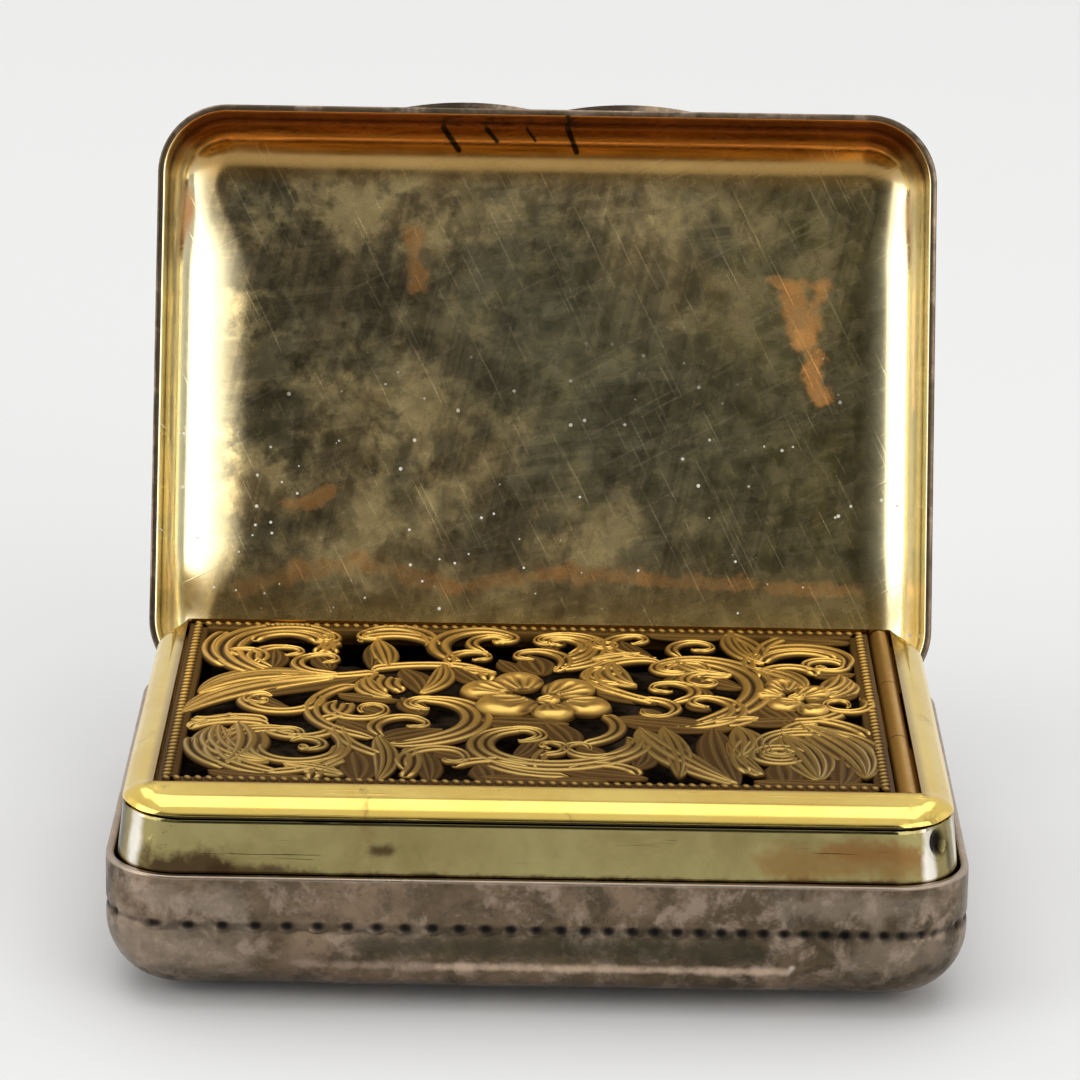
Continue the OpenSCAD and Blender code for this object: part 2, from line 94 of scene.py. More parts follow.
# Leaf: foot x, y, tip x, y, width and bend
LEAVES = np.array([
    (-8.4, 3.2, -14.9, -1.9, 1.5, -1.3), (4.8, -3.1, 8.8, -10, 1.5, -0.4), (-7.1, 3.1, -5.9, 0.4, 1, -0.4),
    (-3.8, 5, -4.7, 1.1, 0.9, 0.4), (9.2, 10.6, 10.5, 5.9, 0.9, -0.5), (10, 5.2, 12.1, 2.6, 1.4, 0.5),
    (13.8, 4.4, 12.8, 2.1, 1.2, 0.3), (3.8, 5.7, 4.8, 2.5, 1.2, -0.5), (11.8, -2.4, 14.2, -9, 2, 0.9),
    (-13.2, -3.5, -10.8, -8.1, 1.8, -1), (9, -2.7, 8.9, -6.7, 1.3, 0.5), (-6.4, -4.7, -6.2, -10.2, 0.9, 0.4),
    (-6.8, 8.4, -6.2, 4.7, 1, 0.1)])
# Small scrolls, stems and leaves between them that are too fine for the solids
TENDRILS = np.array([
    (-11.6, -0.1, 0.35, 0.95, 60, 200, 1), (3.6, 4.4, 0.5, 1.5, 300, -230, 1),
    (-1.3, 8.6, 0.4, 1.5, 250, -200, 1), (1.3, 8.4, 0.4, 1.4, 290, 190, 1), (7.6, 5, 0.4, 1.6, 200, -170, 1),
    (12.9, 5.6, 0.4, 1.3, 20, 200, 1), (3.6, 8.3, 0.35, 0.9, 100, 240, 1), (-13, 6.4, 0.4, 1.5, 300, 150, 1),
    (-9.3, -6.2, 0.35, 1.2, 130, -200, 1), (0.9, -5.6, 0.35, 1.1, 250, 200, 1)])
TWIGS = np.array([
    (-9.7, -3.3, 1.45, 195, 150), (-4.6, 2.6, 1.35, 150, 80), (-4.6, 2.6, 2.15, 150, 70),
    (8.5, 6, 6.25, 205, 36), (6.3, 7, 4.2, 53, -46), (13.5, 7.3, 3.1, 129, 56), (-9, -7.8, 4.3, 25, -50),
    (1.5, -2.9, 2.4, 42, -112), (-8, 7.4, 0.95, 120, 110), (-12.3, -4.6, 2.3, 60, 100),
    (-3.5, -3.2, 4.6, 180, 55), (-4.5, -10.8, 4.5, 135, 35), (1.2, -5.8, 3.4, 215, 65), (3.5, -7.5, 3, 150, 45),
    (10.7, -6.2, 0.95, 0, 350), (13.5, -6.5, 4.6, 150, 55), (11.6, 0.6, 2.3, -30, -65),
    (-1.4, -9.6, 2.2, 40, 100), (3.2, -9.4, 1.6, 20, 130), (-13.9, -1.2, 1.6, 250, 80),
    (12.6, -3.4, 1.5, 200, -110), (-10, -0.6, 2.2, 300, 70), (-10.4, 7.2, 3.9, 145, 75),
    (-10.9, 7.8, 1.5, 15, 150), (-11.2, 8.2, 2.2, -40, 80), (-6, 7.3, 2, 15, 130), (-12.4, -5.6, 2.7, 60, 80),
    (-9.7, -6.2, 1.75, 20, -220), (-10.5, -5.6, 3.75, 170, 65), (0.6, 8, 2, -60, 80), (12.2, 6, 1.75, 30, 140),
    (11.6, 4.4, 1.2, 10, 160), (11.5, -4.6, 3.3, 20, 55)])
FRONDS = np.array([
    (-9, 3.2, -14.3, 0.6, 2.2, -1.2), (10.9, -3.6, 12.2, -9.3, 2, 0.3), (-12.4, -3.2, -12.6, -8.3, 1.6, 0.6),
    (6.6, 6, 9, 4.2, 1.2, -0.4), (5.8, -3, 6.4, -9.3, 1, 0.3), (14.3, 3.6, 13.2, 1.4, 0.9, 0.2),
    (-10.2, -8.4, -7.6, -9.7, 1, 0.3), (8, -2.2, 10, -1.6, 1.2, 0.2), (-2.9, 4.6, -1.4, 3.9, 0.7, 0.1),
    (2.8, 6, 5, 7, 0.8, 0.2), (9.9, -8.8, 8.6, -4.6, 0.8, 0.2)])
# Low leaves that back the others
SPRAYS = np.array([
    (-11.3, 7, -11.3, 4.4, 0.9, 0.1), (-9.5, 6.4, -8.8, 4.3, 0.9, 0.1), (-7, 8, -6.9, 4.6, 0.8, 0.1),
    (-5.6, 4.5, -4.6, 1.2, 1.2, 0.3), (-3.3, 4.8, -2, 2.4, 1.1, 0.1), (-7.4, 3.3, -12, 0.6, 1.2, -0.4),
    (-11.9, 1, -10, -1.3, 0.9, -0.3), (-8.3, 0.9, -5.6, 0.2, 0.8, 0.1), (-8.2, -2.6, -6.3, -4.6, 1.2, 0.2),
    (-6.1, -5, -3.6, -3.6, 1.6, 0.2), (-5.5, 0.6, -4.5, -1.6, 1, 0.1), (-13.3, -9.2, -9, -9.8, 0.9, -0.1),
    (-7.3, -6.6, -7, -10.2, 1.6, 0.2), (-4.4, -6.4, -4, -10.1, 1, 0.1), (-4, -6.4, -2.1, -7.6, 1, 0.2),
    (-2, -7.8, -1.6, -10.1, 1.2, 0.2), (-2.1, -2.2, 1.8, -2.6, 1.6, 0.2), (0.4, -4.4, -0.6, -7.2, 0.9, 0.2),
    (0.8, -2.4, 1.9, -5.6, 1.4, 0.2), (0, 6.6, 0.6, 4, 1.4, 0.1), (-1.3, 6, -0.3, 4, 0.8, 0.1),
    (1.4, 9.8, 0.5, 7.4, 0.8, 0.2), (4.2, 8.9, 5.7, 6.4, 0.9, -0.2), (5.4, 9.9, 8.8, 9.7, 0.7, 0.1),
    (10.9, 9.8, 14.5, 9.2, 0.8, 0.1), (12.6, 4.7, 14.5, 4.8, 0.7, 0.1), (3, 1.9, 5.7, 0.4, 0.9, 0.1),
    (6.7, 4.4, 5.7, 2.8, 0.8, 0.2), (7.1, 4.3, 9.4, 2.5, 1.2, 0.1), (7.4, 2.6, 7.7, 0.9, 0.8, 0.1),
    (10, 0.8, 11.6, -2.4, 1.8, 0.2), (9.2, -1.9, 12.8, -1.3, 1.1, 0.1), (12.2, 0.9, 14.5, 2, 0.8, 0.1),
    (3.8, -1.7, 8.9, -2.9, 1.7, 0.1), (8, -2.9, 8.8, -10.1, 1.4, -0.2), (2.1, -5.3, 3.3, -6.4, 0.8, 0.1),
    (5.1, -6.1, 4.6, -8.1, 0.9, 0.1), (-1.9, -9.5, 3.4, -9.8, 1, 0.1), (1.5, -8.5, 5.1, -9.4, 1.2, 0.2),
    (13.5, -5.5, 13.1, -10.1, 1.5, 0.2), (10.7, -7, 10.8, -10, 1.4, 0.1), (9.5, -9.5, 14.6, -9.7, 1, 0.1),
    (-7.3, -0.7, -6.3, -1.7, 0.7, 0.1), (6.9, 0.5, 7.9, -0.5, 0.7, 0.1), (4.9, -0.5, 5.8, -1.4, 0.7, 0.1)])
# Petal: x, y, radius and the angle it points to. The first six make the large flower
PETALS = [
    (-0.4, 2.9, 1.15, 100), (1.8, 2, 1.2, 50), (-1.8, 1.6, 1.15, 160), (2.5, -0.3, 1.15, -30),
    (1.1, -1.2, 1, -80), (-0.9, -0.4, 1.4, 215), (11.2, 3, 0.8, 100), (12.5, 2, 0.85, 40),
    (11.3, 0.4, 0.85, 200), (12.4, -0.2, 0.75, -50), (10.6, 1.7, 0.7, 160)]
# Middle of a flower: x, y and radius
BOSSES = [
    (0.9, 0.5, 0.55), (11.7, 1.3, 0.4)]


# Surfaces

def quads(nu, nv, wrap_u=False, wrap_v=False):
    """Quads between neighbouring points of a grid whose point (u, v) has the number u * nv + v."""
    u, v = np.meshgrid(np.arange(nu - (not wrap_u)), np.arange(nv - (not wrap_v)), indexing="ij")
    u2, v2 = (u + 1) % nu, (v + 1) % nv
    return np.stack([u * nv + v, u2 * nv + v, u2 * nv + v2, u * nv + v2], -1).reshape(-1, 4)


def ringed(grid, tube=False):
    """Points and quads of a grid that runs round on itself, and for a tube also across."""
    return grid.reshape(-1, 3), quads(*grid.shape[:2], True, tube)


def joined(parts):
    """Several (points, quads, values) as one, with the quads renumbered."""
    points, faces, values = zip(*parts)
    starts = np.cumsum([0] + [len(p) for p in points[:-1]])
    faces = [f + start for f, start in zip(faces, starts)]
    return np.concatenate(points), np.concatenate(faces), np.concatenate(values)


def make_piece(name, points, faces, body, slot, materials, values=None, place=None, face_material=None,
               sharp=38):
    """A welded mesh from points in millimetres and quads. values and place go into the point attributes
    "relief" and "place". Edges steeper than sharp degrees stay hard."""
    mesh = bpy.data.meshes.new(name)
    mesh.vertices.add(len(points))
    mesh.vertices.foreach_set("co", (points * MM).astype(np.float32).ravel())
    mesh.loops.add(faces.size)
    mesh.loops.foreach_set("vertex_index", faces.astype(np.int32).ravel())
    mesh.polygons.add(len(faces))
    mesh.polygons.foreach_set("loop_start", np.arange(0, faces.size, 4, dtype=np.int32))
    for m in materials:
        mesh.materials.append(m)
    if face_material is not None:
        mesh.polygons.foreach_set("material_index", face_material.astype(np.int32))
    layers = [("relief", "FLOAT", "value", values), ("place", "FLOAT_VECTOR", "vector", place)]
    for key, kind, field, data in layers:
        if data is not None:
            mesh.attributes.new(key, kind, "POINT").data.foreach_set(field, data.astype(np.float32).ravel())
    mesh.update(calc_edges=True)
    bm = bmesh.new()
    bm.from_mesh(mesh)
    bmesh.ops.remove_doubles(bm, verts=bm.verts, dist=2e-7)
    bmesh.ops.dissolve_degenerate(bm, edges=bm.edges, dist=1e-7)
    bmesh.ops.recalc_face_normals(bm, faces=bm.faces)
    bm.to_mesh(mesh)
    bm.free()
    mesh.polygons.foreach_set("use_smooth", np.ones(len(mesh.polygons), bool))
    mesh.set_sharp_from_angle(angle=np.radians(sharp))
    obj = bpy.data.objects.new(name, mesh)
    bpy.context.scene.collection.objects.link(obj)
    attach(obj, body)
    return obj


def ease(t):
    """Smooth step: 3 t squared less 2 t cubed."""
    return t * t * (3 - 2 * t)


def rise(x, start, end):
    """Smooth step from 0 at start to 1 at end, level on both sides."""
    return ease(np.clip((x - start) / (end - start), 0, 1))


def ripple(a, b, wave, seed):
    """Gentle unevenness from -1 to 1: the mean of six sine waves of about the given length in fixed random
    directions."""
    rng = np.random.default_rng(seed)
    turn, lag = rng.uniform(0, 2 * np.pi, (2, 6))
    step = rng.uniform(0.7, 1.5, 6)
    phase = [2 * np.pi * s * (a * np.cos(t) + b * np.sin(t)) / wave + g for t, g, s in zip(turn, lag, step)]
    return sum(np.sin(p) for p in phase) / 6


def lifted(flat, up):
    """Flat points with a height each."""
    return np.concatenate([flat, np.broadcast_to(up, flat.shape[:-1])[..., None]], -1)


def rounded_path(w, d, r, side_x, side_y, corner):
    """Once round a rounded rectangle: corner-centre points and outward normals, anticlockwise from +X. side_x,
    side_y and corner are the numbers of points on a side along X, on one along Y and on a corner."""
    centre, normal = [], []
    for q, signs in enumerate(((1, 1), (-1, 1), (-1, -1), (1, -1))):
        spot = np.array((w / 2 - r, d / 2 - r)) * signs
        a = np.radians(np.linspace(90 * q, 90 * q + 90, corner))
        centre.append(np.tile(spot, (corner, 1)))
        normal.append(np.stack([np.cos(a), np.sin(a)], 1))
        n = side_y if q % 2 else side_x
        t = np.linspace(1, -1, n + 2)[1:-1, None]
        centre.append(spot * np.where((q % 2 == 0, q % 2 == 1), t, 1))
        normal.append(np.tile(normal[-1][-1], (n, 1)))
    return np.concatenate(centre), np.concatenate(normal)


def carried(path, profile):
    """A profile of (outward, up) points carried round a path of centres and normals: centre + outward *
    normal."""
    centre, normal = path
    return lifted(centre[:, None, :] + normal[:, None, :] * profile[None, :, :1], profile[:, 1])


def filled(wall, rings):
    """A wall's grid with both its edges filled by rings towards the Z axis: the edge's x and y times even
    shares."""
    shares = np.linspace(0, 1, rings, endpoint=False)
    scale = np.stack([shares, shares, np.ones(rings)], -1)[None]
    return np.concatenate([wall[:, :1] * scale, wall, wall[:, -1:] * scale[:, ::-1]], 1)


def arc(x, z, r, start, end, n):
    """Points (x + r cos a, z + r sin a) of an arc, with a in degrees."""
    a = np.radians(np.linspace(start, end, n))
    return np.stack([x + r * np.cos(a), z + r * np.sin(a)], -1)


def line(a, b, n):
    """n points from a on the way to b, without b."""
    return np.array(a) + (np.array(b) - np.array(a)) * np.linspace(0, 1, n, endpoint=False)[:, None]


def dot_row(points, z):
    """Depth of a row of punched dots round the box at height z: round pits at even steps along each side, exp
    of minus the fourth power of distance / radius, on a fine groove. Those of the front close up to the right."""
    x, y, up = points[..., 0], points[..., 1], points[..., 2]
    long_side = np.abs(y) > BOX_D / 2 - 0.6
    front = long_side & (y < 0)
    along = np.where(long_side, x, y)
    t = np.clip(along / BOX_W + 0.5, 0, 1)
    count = along / DOT_PITCH * np.where(front, 0.8 + 0.35 * t, 1)
    step = DOT_PITCH / np.where(front, 0.8 + 0.7 * t, 1)
    away = np.hypot((count - np.round(count)) * step, (up - z) * 1.25)
    reach = np.where(long_side, BOX_W, BOX_D) / 2 - 1.4
    pits = np.exp(-(away / DOT_R) ** 4) * (np.abs(along) < reach)
    return np.maximum(pits, 0.4 * np.exp(-((up - z) / 0.14) ** 2))


def pressed_shell(h, strip=False, cove=None):
    """Closed sheet-metal shell standing on z = 0, as a grid: bottom, rolled edge, wall, rim and the inside back
    to the middle. Also the depth of its punched dots and the number of profile points outside. The wall is
    pressed in by the dots. strip fills out a low panel with an upright face along the front's rolled edge. cove
    gives the width to which the hollow curve inside is drawn out."""
    flat, r, t = CORNER_R - EDGE_R, CORNER_R, SHEET
    dots_z, rim_out, rim_in, rings = h - DOT_DROP, 0.1, 0.08, 10
    # heights of the wall's points, closer together at the dots
    rows = np.unique(np.r_[np.linspace(EDGE_R, dots_z - 0.4, 4), np.linspace(dots_z - 0.36, dots_z + 0.36, 11),
                           np.linspace(dots_z + 0.4, h - 0.12, 6)])
    outside = np.concatenate([arc(flat, EDGE_R, EDGE_R, -90, 0, 32)[:-1],
                              lifted(np.full((len(rows), 1), r), rows),
                              arc(r - rim_out, h - rim_out, rim_out, 15, 90, 4)])
    rim = arc(r - t + rim_in, h - rim_in, rim_in, 90, 180, 4)
    inside = np.concatenate([rim, line((r - t, h - 0.2), (r - t, EDGE_R), 8),
                             arc(flat, EDGE_R, EDGE_R - t, 0, -90, 20)])
    section = np.concatenate([outside, inside])
    path = rounded_path(BOX_W, BOX_D, CORNER_R, 210, 140, 18)
    outward = path[1][:, None, :]
    wall = carried(path, section)
    if cove is not None:
        spread = (cove(*path[0].T) / (EDGE_R - t))[:, None]
        shift = (r - t - section[:, 0]) * (np.arange(len(section)) >= len(outside) + len(rim))
        wall[..., :2] -= outward * (shift.clip(0) * (spread - 1))[..., None]
    grid = filled(wall, rings)
    n_out = rings + len(outside)
    depth = np.zeros(grid.shape[:2])
    depth[:, :n_out] = dot_row(grid[:, :n_out], dots_z)
    push = -DOT_DEPTH * depth
    if strip:
        x, y, z = (grid[:, :n_out, k] for k in range(3))
        left, right, top = -10.6, 10.75, 1.78
        face = (0.07 + 0.25 * np.clip(1.7 - z, 0, 1)) * rise(z, top, top - 0.16) * rise(z, 0, 0.9)
        push[:, :n_out] += face * rise(x, left, left + 3.5) * rise(x, right, right - 0.45) * (y < 0)
    grid[..., :2] += outward * push[..., None]
    return grid, depth, n_out


def hinge_cut(points, side):
    """Keeps a leaf clear of the hinge: behind the axis its rim is cut to a bevel and to the barrel's groove."""
    y = points[..., 1] - HINGE_Y
    bevel = np.maximum(y, 0) * np.tan(np.radians(BEVEL))
    barrel = np.sqrt(np.maximum((HINGE_R + GROOVE) ** 2 - y ** 2, 0)) * (np.abs(points[..., 0]) < HINGE_LEN / 2)
    room = np.where(y > 0, np.maximum(bevel, barrel), 0)
    z = side * (points[..., 2] - BASE_H)
    points[..., 2] = BASE_H + side * np.where(y > 0, np.maximum(z, room), z)
    return points


def opened(points):
    """Turns the shut lid's points back about the hinge by the opening angle."""
    a = -np.radians(LID_OPEN)
    y, z = points[..., 1] - HINGE_Y, points[..., 2] - BASE_H
    return np.stack([points[..., 0], HINGE_Y + y * np.cos(a) - z * np.sin(a),
                     BASE_H + y * np.sin(a) + z * np.cos(a)], -1)


def swept(path, half, crown, z, across, height, values):
    """A closed profile carried along a flat path: path + normal * half * across, z + crown * height. height and
    values are one profile or one for each path point."""
    tangent = np.gradient(path, axis=0)
    tangent /= np.linalg.norm(tangent, axis=1)[:, None]
    normal = np.stack([-tangent[:, 1], tangent[:, 0]], 1)
    flat = path[:, None, :] + normal[:, None, :] * (half[:, None] * across)[..., None]
    points = lifted(flat, z + crown[:, None] * height)
    shape = flat.shape[:2]
    return points.reshape(-1, 3), quads(*shape, wrap_v=True), np.broadcast_to(values, shape).ravel()


def run_out(n, share):
    """Round ends of a stroke: a quarter ellipse over this share of its length, 1 between."""
    t = np.linspace(0, 1, n)
    near = np.clip(np.minimum(t, 1 - t) / share, 0, 1)
    return np.sqrt(1 - (1 - near) ** 2)


def reeds(count):
    """Section of a reeded stroke, as places across it, heights and values: round ridges side by side with
    grooves between, and upright sides."""
    v = np.linspace(-1, 1, 6 * count + 1)
    ridge = np.abs(np.sin(np.pi * count * (v + 1) / 2)) ** 1.2
    # values fall in the grooves and to 0 on the sides, where the gilding lays dirt and painted shade
    return np.r_[-1, v, 1], np.r_[0, 0.5 + 0.5 * ridge - 0.15 * v ** 2, 0], np.r_[0, 0.1 + 0.9 * ridge, 0]


def strand(path, half, lift):
    """Reeded stroke along a path, with as many ridges as its width takes. Its ends run out to nothing."""
    count = int(np.clip(round(half.max() * 2 / REED_PITCH), 2, 4))
    end = run_out(len(path), 0.12)
    return swept(path, half * end, STROKE_T * np.maximum(end, 0.6), STROKE_LOW + lift, *reeds(count))


def scroll(s, k):
    """Scroll: its radius eases from tail to eye over the sweep, then it curls on inside the eye. It swells
    after the tail and thins towards the eye, and the swelling lies inside its outline."""
    x, y, eye, tail, start, sweep, late = s
    t, c = np.linspace(0, 1, 52), np.linspace(0, 1, 18)[1:]
    u = np.r_[t, 1 + 0.25 * c] / 1.25
    half = np.clip(0.22 + 0.14 * tail, 0.36, 1.05) * (1 - 0.35 * (1 - u) ** 4) * (1 - 0.66 * ease(u))
    r = np.r_[tail + (eye - tail) * ease(t ** late), eye * (1 - 0.45 * c)]
    r = np.maximum(r - 0.8 * (half - 0.34).clip(0), 0.15)
    a = np.radians(np.r_[start + sweep * t, start + sweep + np.sign(sweep) * 230 * c])
    return strand(np.stack([x + r * np.cos(a), y + r * np.sin(a)], 1), half, 0.012 * (k % 5))


def stem(s, k):
    """Stem along an arc."""
    x, y, r, start, sweep = s
    return strand(arc(x, y, r, start, start + sweep, 40), np.full(40, 0.42), 0.01 * (k % 4))


def leaf(f, k, share=1.0):
    """Chased leaf: a bent midrib with a pointed blade either side, lined from foot to tip. share lowers it and
    darkens it as painted shade.
    """
    foot, tip, width, bend = f[:2], f[2:4], f[4], f[5]
    n, lines = 44, max(2, round(width * 1.5))
    u, v = np.linspace(0, 1, n)[:, None], np.linspace(-1, 1, 7 * lines + 1)
    side = np.array([foot[1] - tip[1], tip[0] - foot[0]]) / np.linalg.norm(tip - foot)
    path = foot + (tip - foot) * u + side * (bend * 4 * u * (1 - u))
    half = (width / 2 * 1.3 * np.sin(np.pi * u[:, 0] ** 0.8) ** 0.75 + 0.05) * run_out(n, 0.04)
    cut = (0.5 - 0.5 * np.cos(np.pi * (2 * lines * v + 1))) ** 2 * (0.4 + 0.6 * np.sin(np.pi * u))
    blade = 0.5 + 0.6 * (1 - v ** 2) - 0.4 * cut
    # values darken the cut lines and the blade's edges, partly dirt and partly painted shade, and low leaves as
    # painted shade
    value = (1 - 0.8 * cut - 0.3 * v ** 4) * share ** 1.5
    sides = ((0, 0), (1, 1))
    return swept(path, half, np.full(n, STROKE_T * share), STROKE_LOW + 0.008 * (k % 5), np.r_[-1, v, 1],
                 np.pad(blade, sides), np.pad(value, sides))


def petal(x, y, r, turn, top):
    """Cupped petal as polar rings: a rounded rim about a hollow that lies towards the flower's middle, with
    tooled lines fanning from its inner end."""
    rho, a = np.r_[np.linspace(0, 1, 17), 1], np.linspace(0, 2 * np.pi, 44, endpoint=False)
    R, A = np.meshgrid(rho, a, indexing="ij")
    px, py = R * np.cos(A), R * np.sin(A)
    fan = np.arctan2(py, px + 1.25)
    lines = (0.5 + 0.5 * np.cos(fan * 20)) * rise(px, 0.5, 0) * (R < 0.93)
    hollow = np.exp(-((px + 0.3) / 0.62) ** 2 - (py / 0.55) ** 2)
    low = STROKE_LOW + 0.1
    up = low + (top - low) * ((1 - R ** 3.2).clip(0) ** 0.65 * (1 - 0.45 * hollow) - 0.17 * lines)
    # values darken the petal's edge, its hollow and the tooled lines: partly dirt, partly painted shade
    value = 1.05 - 0.7 * R ** 8 - 0.22 * hollow - 0.4 * lines
    up[-1], value[-1] = STROKE_LOW, 0
    c, s = np.cos(turn), np.sin(turn)
    points = np.stack([x + r * (px * 1.05 * c - py * s), y + r * (px * 1.05 * s + py * c), up], -1)
    return points.reshape(-1, 3), quads(len(rho), len(a), wrap_v=True), value.ravel()


def bead_row(x0, x1, y0, y1):
    """Beads along a rectangle: half ellipsoids at even steps on each side, each turned against its line."""
    rho, a = np.linspace(0, 1, 5), np.linspace(0, 2 * np.pi, 10, endpoint=False)
    R, A = np.meshgrid(rho, a, indexing="ij")
    long, wide = (R * np.cos(A) * BEAD_LONG).ravel(), (R * np.sin(A) * BEAD_WIDE).ravel()
    dome = np.sqrt(1 - R ** 2)
    xs = np.linspace(x0, x1, int((x1 - x0) / BEAD_PITCH))
    ys = np.linspace(y0, y1, int((y1 - y0) / BEAD_PITCH))[1:-1]
    rows = [(xs, y0, 0), (xs, y1, 0), (x0, ys, 1), (x1, ys, 1)]
    x, y, quarter = np.concatenate([np.stack(np.broadcast_arrays(*row), 1) for row in rows]).T[..., None]
    angle = np.radians(90 + BEAD_TURN + 90 * quarter)
    c, s = np.cos(angle), np.sin(angle)
    up = np.broadcast_to(dome.ravel(), (len(x), dome.size))
    points = np.stack([x + long * c - wide * s, y + long * s + wide * c, up * BEAD_H], -1)
    faces = quads(*R.shape, wrap_v=True) + (np.arange(len(x)) * dome.size)[:, None, None]
    # values darken each bead towards its foot, as dirt and painted shade
    return points.reshape(-1, 3), faces.reshape(-1, 4), (0.1 + 0.75 * up).ravel()


# Shared effects

def feed(tree, n, ins):
    """Links a node's inputs to other nodes' outputs, or sets their values."""
    for key, value in ins.items():
        if isinstance(value, bpy.types.NodeSocket):
            tree.links.new(value, n.inputs[key])
        else:
            n.inputs[key].default_value = value


def node(tree, kind, ins=(), **props):
    """A node with its properties set and its inputs linked or given values."""
    n = tree.nodes.new("ShaderNode" + kind)
    for key, value in props.items():
        setattr(n, key, value)
    feed(tree, n, dict(ins))
    return n


def math(tree, operation, a, b=0.0):
    """A Math node's output."""
    return node(tree, "Math", {0: a, 1: b}, operation=operation).outputs[0]


def times(tree, a, b):
    """a * b."""
    return math(tree, "MULTIPLY", a, b)


def added(tree, start, *shares):
    """start and, for each (mask, share), mask * share."""
    for mask, share in shares:
        start = node(tree, "Math", {0: mask, 1: share, 2: start}, operation="MULTIPLY_ADD").outputs[0]
    return start


def vectors(tree, operation, a, b):
    """A Vector Math node's output, which is a number for a product or a distance."""
    n = node(tree, "VectorMath", {0: a, 1: b}, operation=operation)
    return n.outputs["Value" if operation in ("DOT_PRODUCT", "DISTANCE") else "Vector"]


def scaled(tree, vector, share):
    """A vector times a number."""
    return node(tree, "VectorMath", {0: vector, "Scale": share}, operation="SCALE").outputs[0]


def blend(tree, share, a, b):
    """A colour Mix node's output."""
    a, b = (c if isinstance(c, bpy.types.NodeSocket) else (*c, 1) for c in (a, b))
    return node(tree, "Mix", {0: share, 6: a, 7: b}, data_type="RGBA").outputs[2]


def coats(tree, colour, layers):
    """Lays tones over a colour, one after another. A layer is a mask, a strength and a tone."""
    for mask, share, tone in layers:
        colour = blend(tree, times(tree, mask, share), colour, tone)
    return colour


def ramp(tree, value, low, high, to_low=0.0, to_high=1.0):
    """A smooth Map Range of a value."""
    ins = {"Value": value, "From Min": low, "From Max": high, "To Min": to_low, "To Max": to_high}
    return node(tree, "MapRange", ins, interpolation_type="SMOOTHSTEP").outputs[0]


def effect(name, ins):
    """A shader node group with a Vector input, the given float or vector inputs and a mask as its output.
    Returns the group, its inputs and its output."""
    group = bpy.data.node_groups.new(name, "ShaderNodeTree")
    group.interface.new_socket("Vector", in_out="INPUT", socket_type="NodeSocketVector")
    for key, value in ins.items():
        kind = "NodeSocketVector" if isinstance(value, tuple) else "NodeSocketFloat"
        group.interface.new_socket(key, in_out="INPUT", socket_type=kind).default_value = value
    group.interface.new_socket("Mask", in_out="OUTPUT", socket_type="NodeSocketFloat")
    return group, group.nodes.new("NodeGroupInput").outputs, group.nodes.new("NodeGroupOutput").inputs[0]


def make_patches():
    """Blotches: fractal noise cut at a level, with a soft edge."""
    group, ins, out = effect("Patches", {"Scale": 0.2, "Level": 0.5, "Softness": 0.08, "Seed": 0.0})
    noise = {"Vector": ins["Vector"], "W": ins["Seed"], "Scale": ins["Scale"], "Detail": 9.0, "Roughness": 0.66,
             "Distortion": 0.35}
    noise = node(group, "TexNoise", noise, noise_dimensions="4D").outputs[0]
    low, high = (math(group, way, ins["Level"], ins["Softness"]) for way in ("SUBTRACT", "ADD"))
    group.links.new(ramp(group, noise, low, high), out)
    return group


def make_hairlines():
    """Fine scratches: noise drawn out along a turned direction, of which only the crests are kept."""
    group, ins, out = effect("Hairlines", {"Scale": 1.0, "Turn": 0.0, "Level": 0.66, "Seed": 0.0})
    turn = {"Vector": ins["Vector"], "Angle": ins["Turn"]}
    drawn = vectors(group, "MULTIPLY", node(group, "VectorRotate", turn, rotation_type="Z_AXIS").outputs[0],
                    (0.06, 3.2, 1.0))
    noise = {"Vector": drawn, "W": ins["Seed"], "Scale": ins["Scale"], "Detail": 3.0, "Roughness": 0.6}
    noise = node(group, "TexNoise", noise, noise_dimensions="4D").outputs[0]
    group.links.new(ramp(group, noise, ins["Level"], math(group, "ADD", ins["Level"], 0.1)), out)
    return group


def make_specks():
    """Dust: small round dots in some of the cells of a Voronoi pattern."""
    group, ins, out = effect("Specks", {"Scale": 1.0, "Size": 0.1, "Share": 0.4})
    cells = {"Vector": ins["Vector"], "Scale": ins["Scale"], "Randomness": 1.0}
    cells = node(group, "TexVoronoi", cells).outputs
    size, chance, _ = node(group, "SeparateColor", {0: cells["Color"]}).outputs
    dot = math(group, "LESS_THAN", cells["Distance"], times(group, ins["Size"], size))
    group.links.new(times(group, dot, math(group, "LESS_THAN", chance, ins["Share"])), out)
    return group


def make_streak():
    """A mark along a line from Start to End: the distance to the line, made ragged by noise and cut at
    Width."""
    group, ins, out = effect("Streak", {"Start": (0.0, 0.0, 0.0), "End": (1.0, 0.0, 0.0), "Width": 0.5,
                                        "Softness": 0.3, "Ragged": 0.4})
    noise = {"Vector": ins["Vector"], "Scale": 0.9, "Detail": 5.0, "Roughness": 0.65}
    noise = math(group, "SUBTRACT", node(group, "TexNoise", noise).outputs[0], 0.5)
    from_start = vectors(group, "SUBTRACT", ins["Vector"], ins["Start"])
    way = vectors(group, "SUBTRACT", ins["End"], ins["Start"])
    along, whole = (vectors(group, "DOT_PRODUCT", v, way) for v in (from_start, way))
    share = node(group, "Math", {0: along, 1: whole}, operation="DIVIDE", use_clamp=True).outputs[0]
    gap = vectors(group, "DISTANCE", from_start, scaled(group, way, share))
    gap = added(group, gap, (times(group, noise, ins["Ragged"]), 2.0))
    low = math(group, "SUBTRACT", ins["Width"], ins["Softness"])
    group.links.new(ramp(group, gap, low, ins["Width"], 1.0, 0.0), out)
    return group


PATCHES, HAIRLINES, SPECKS, STREAK = make_patches(), make_hairlines(), make_specks(), make_streak()


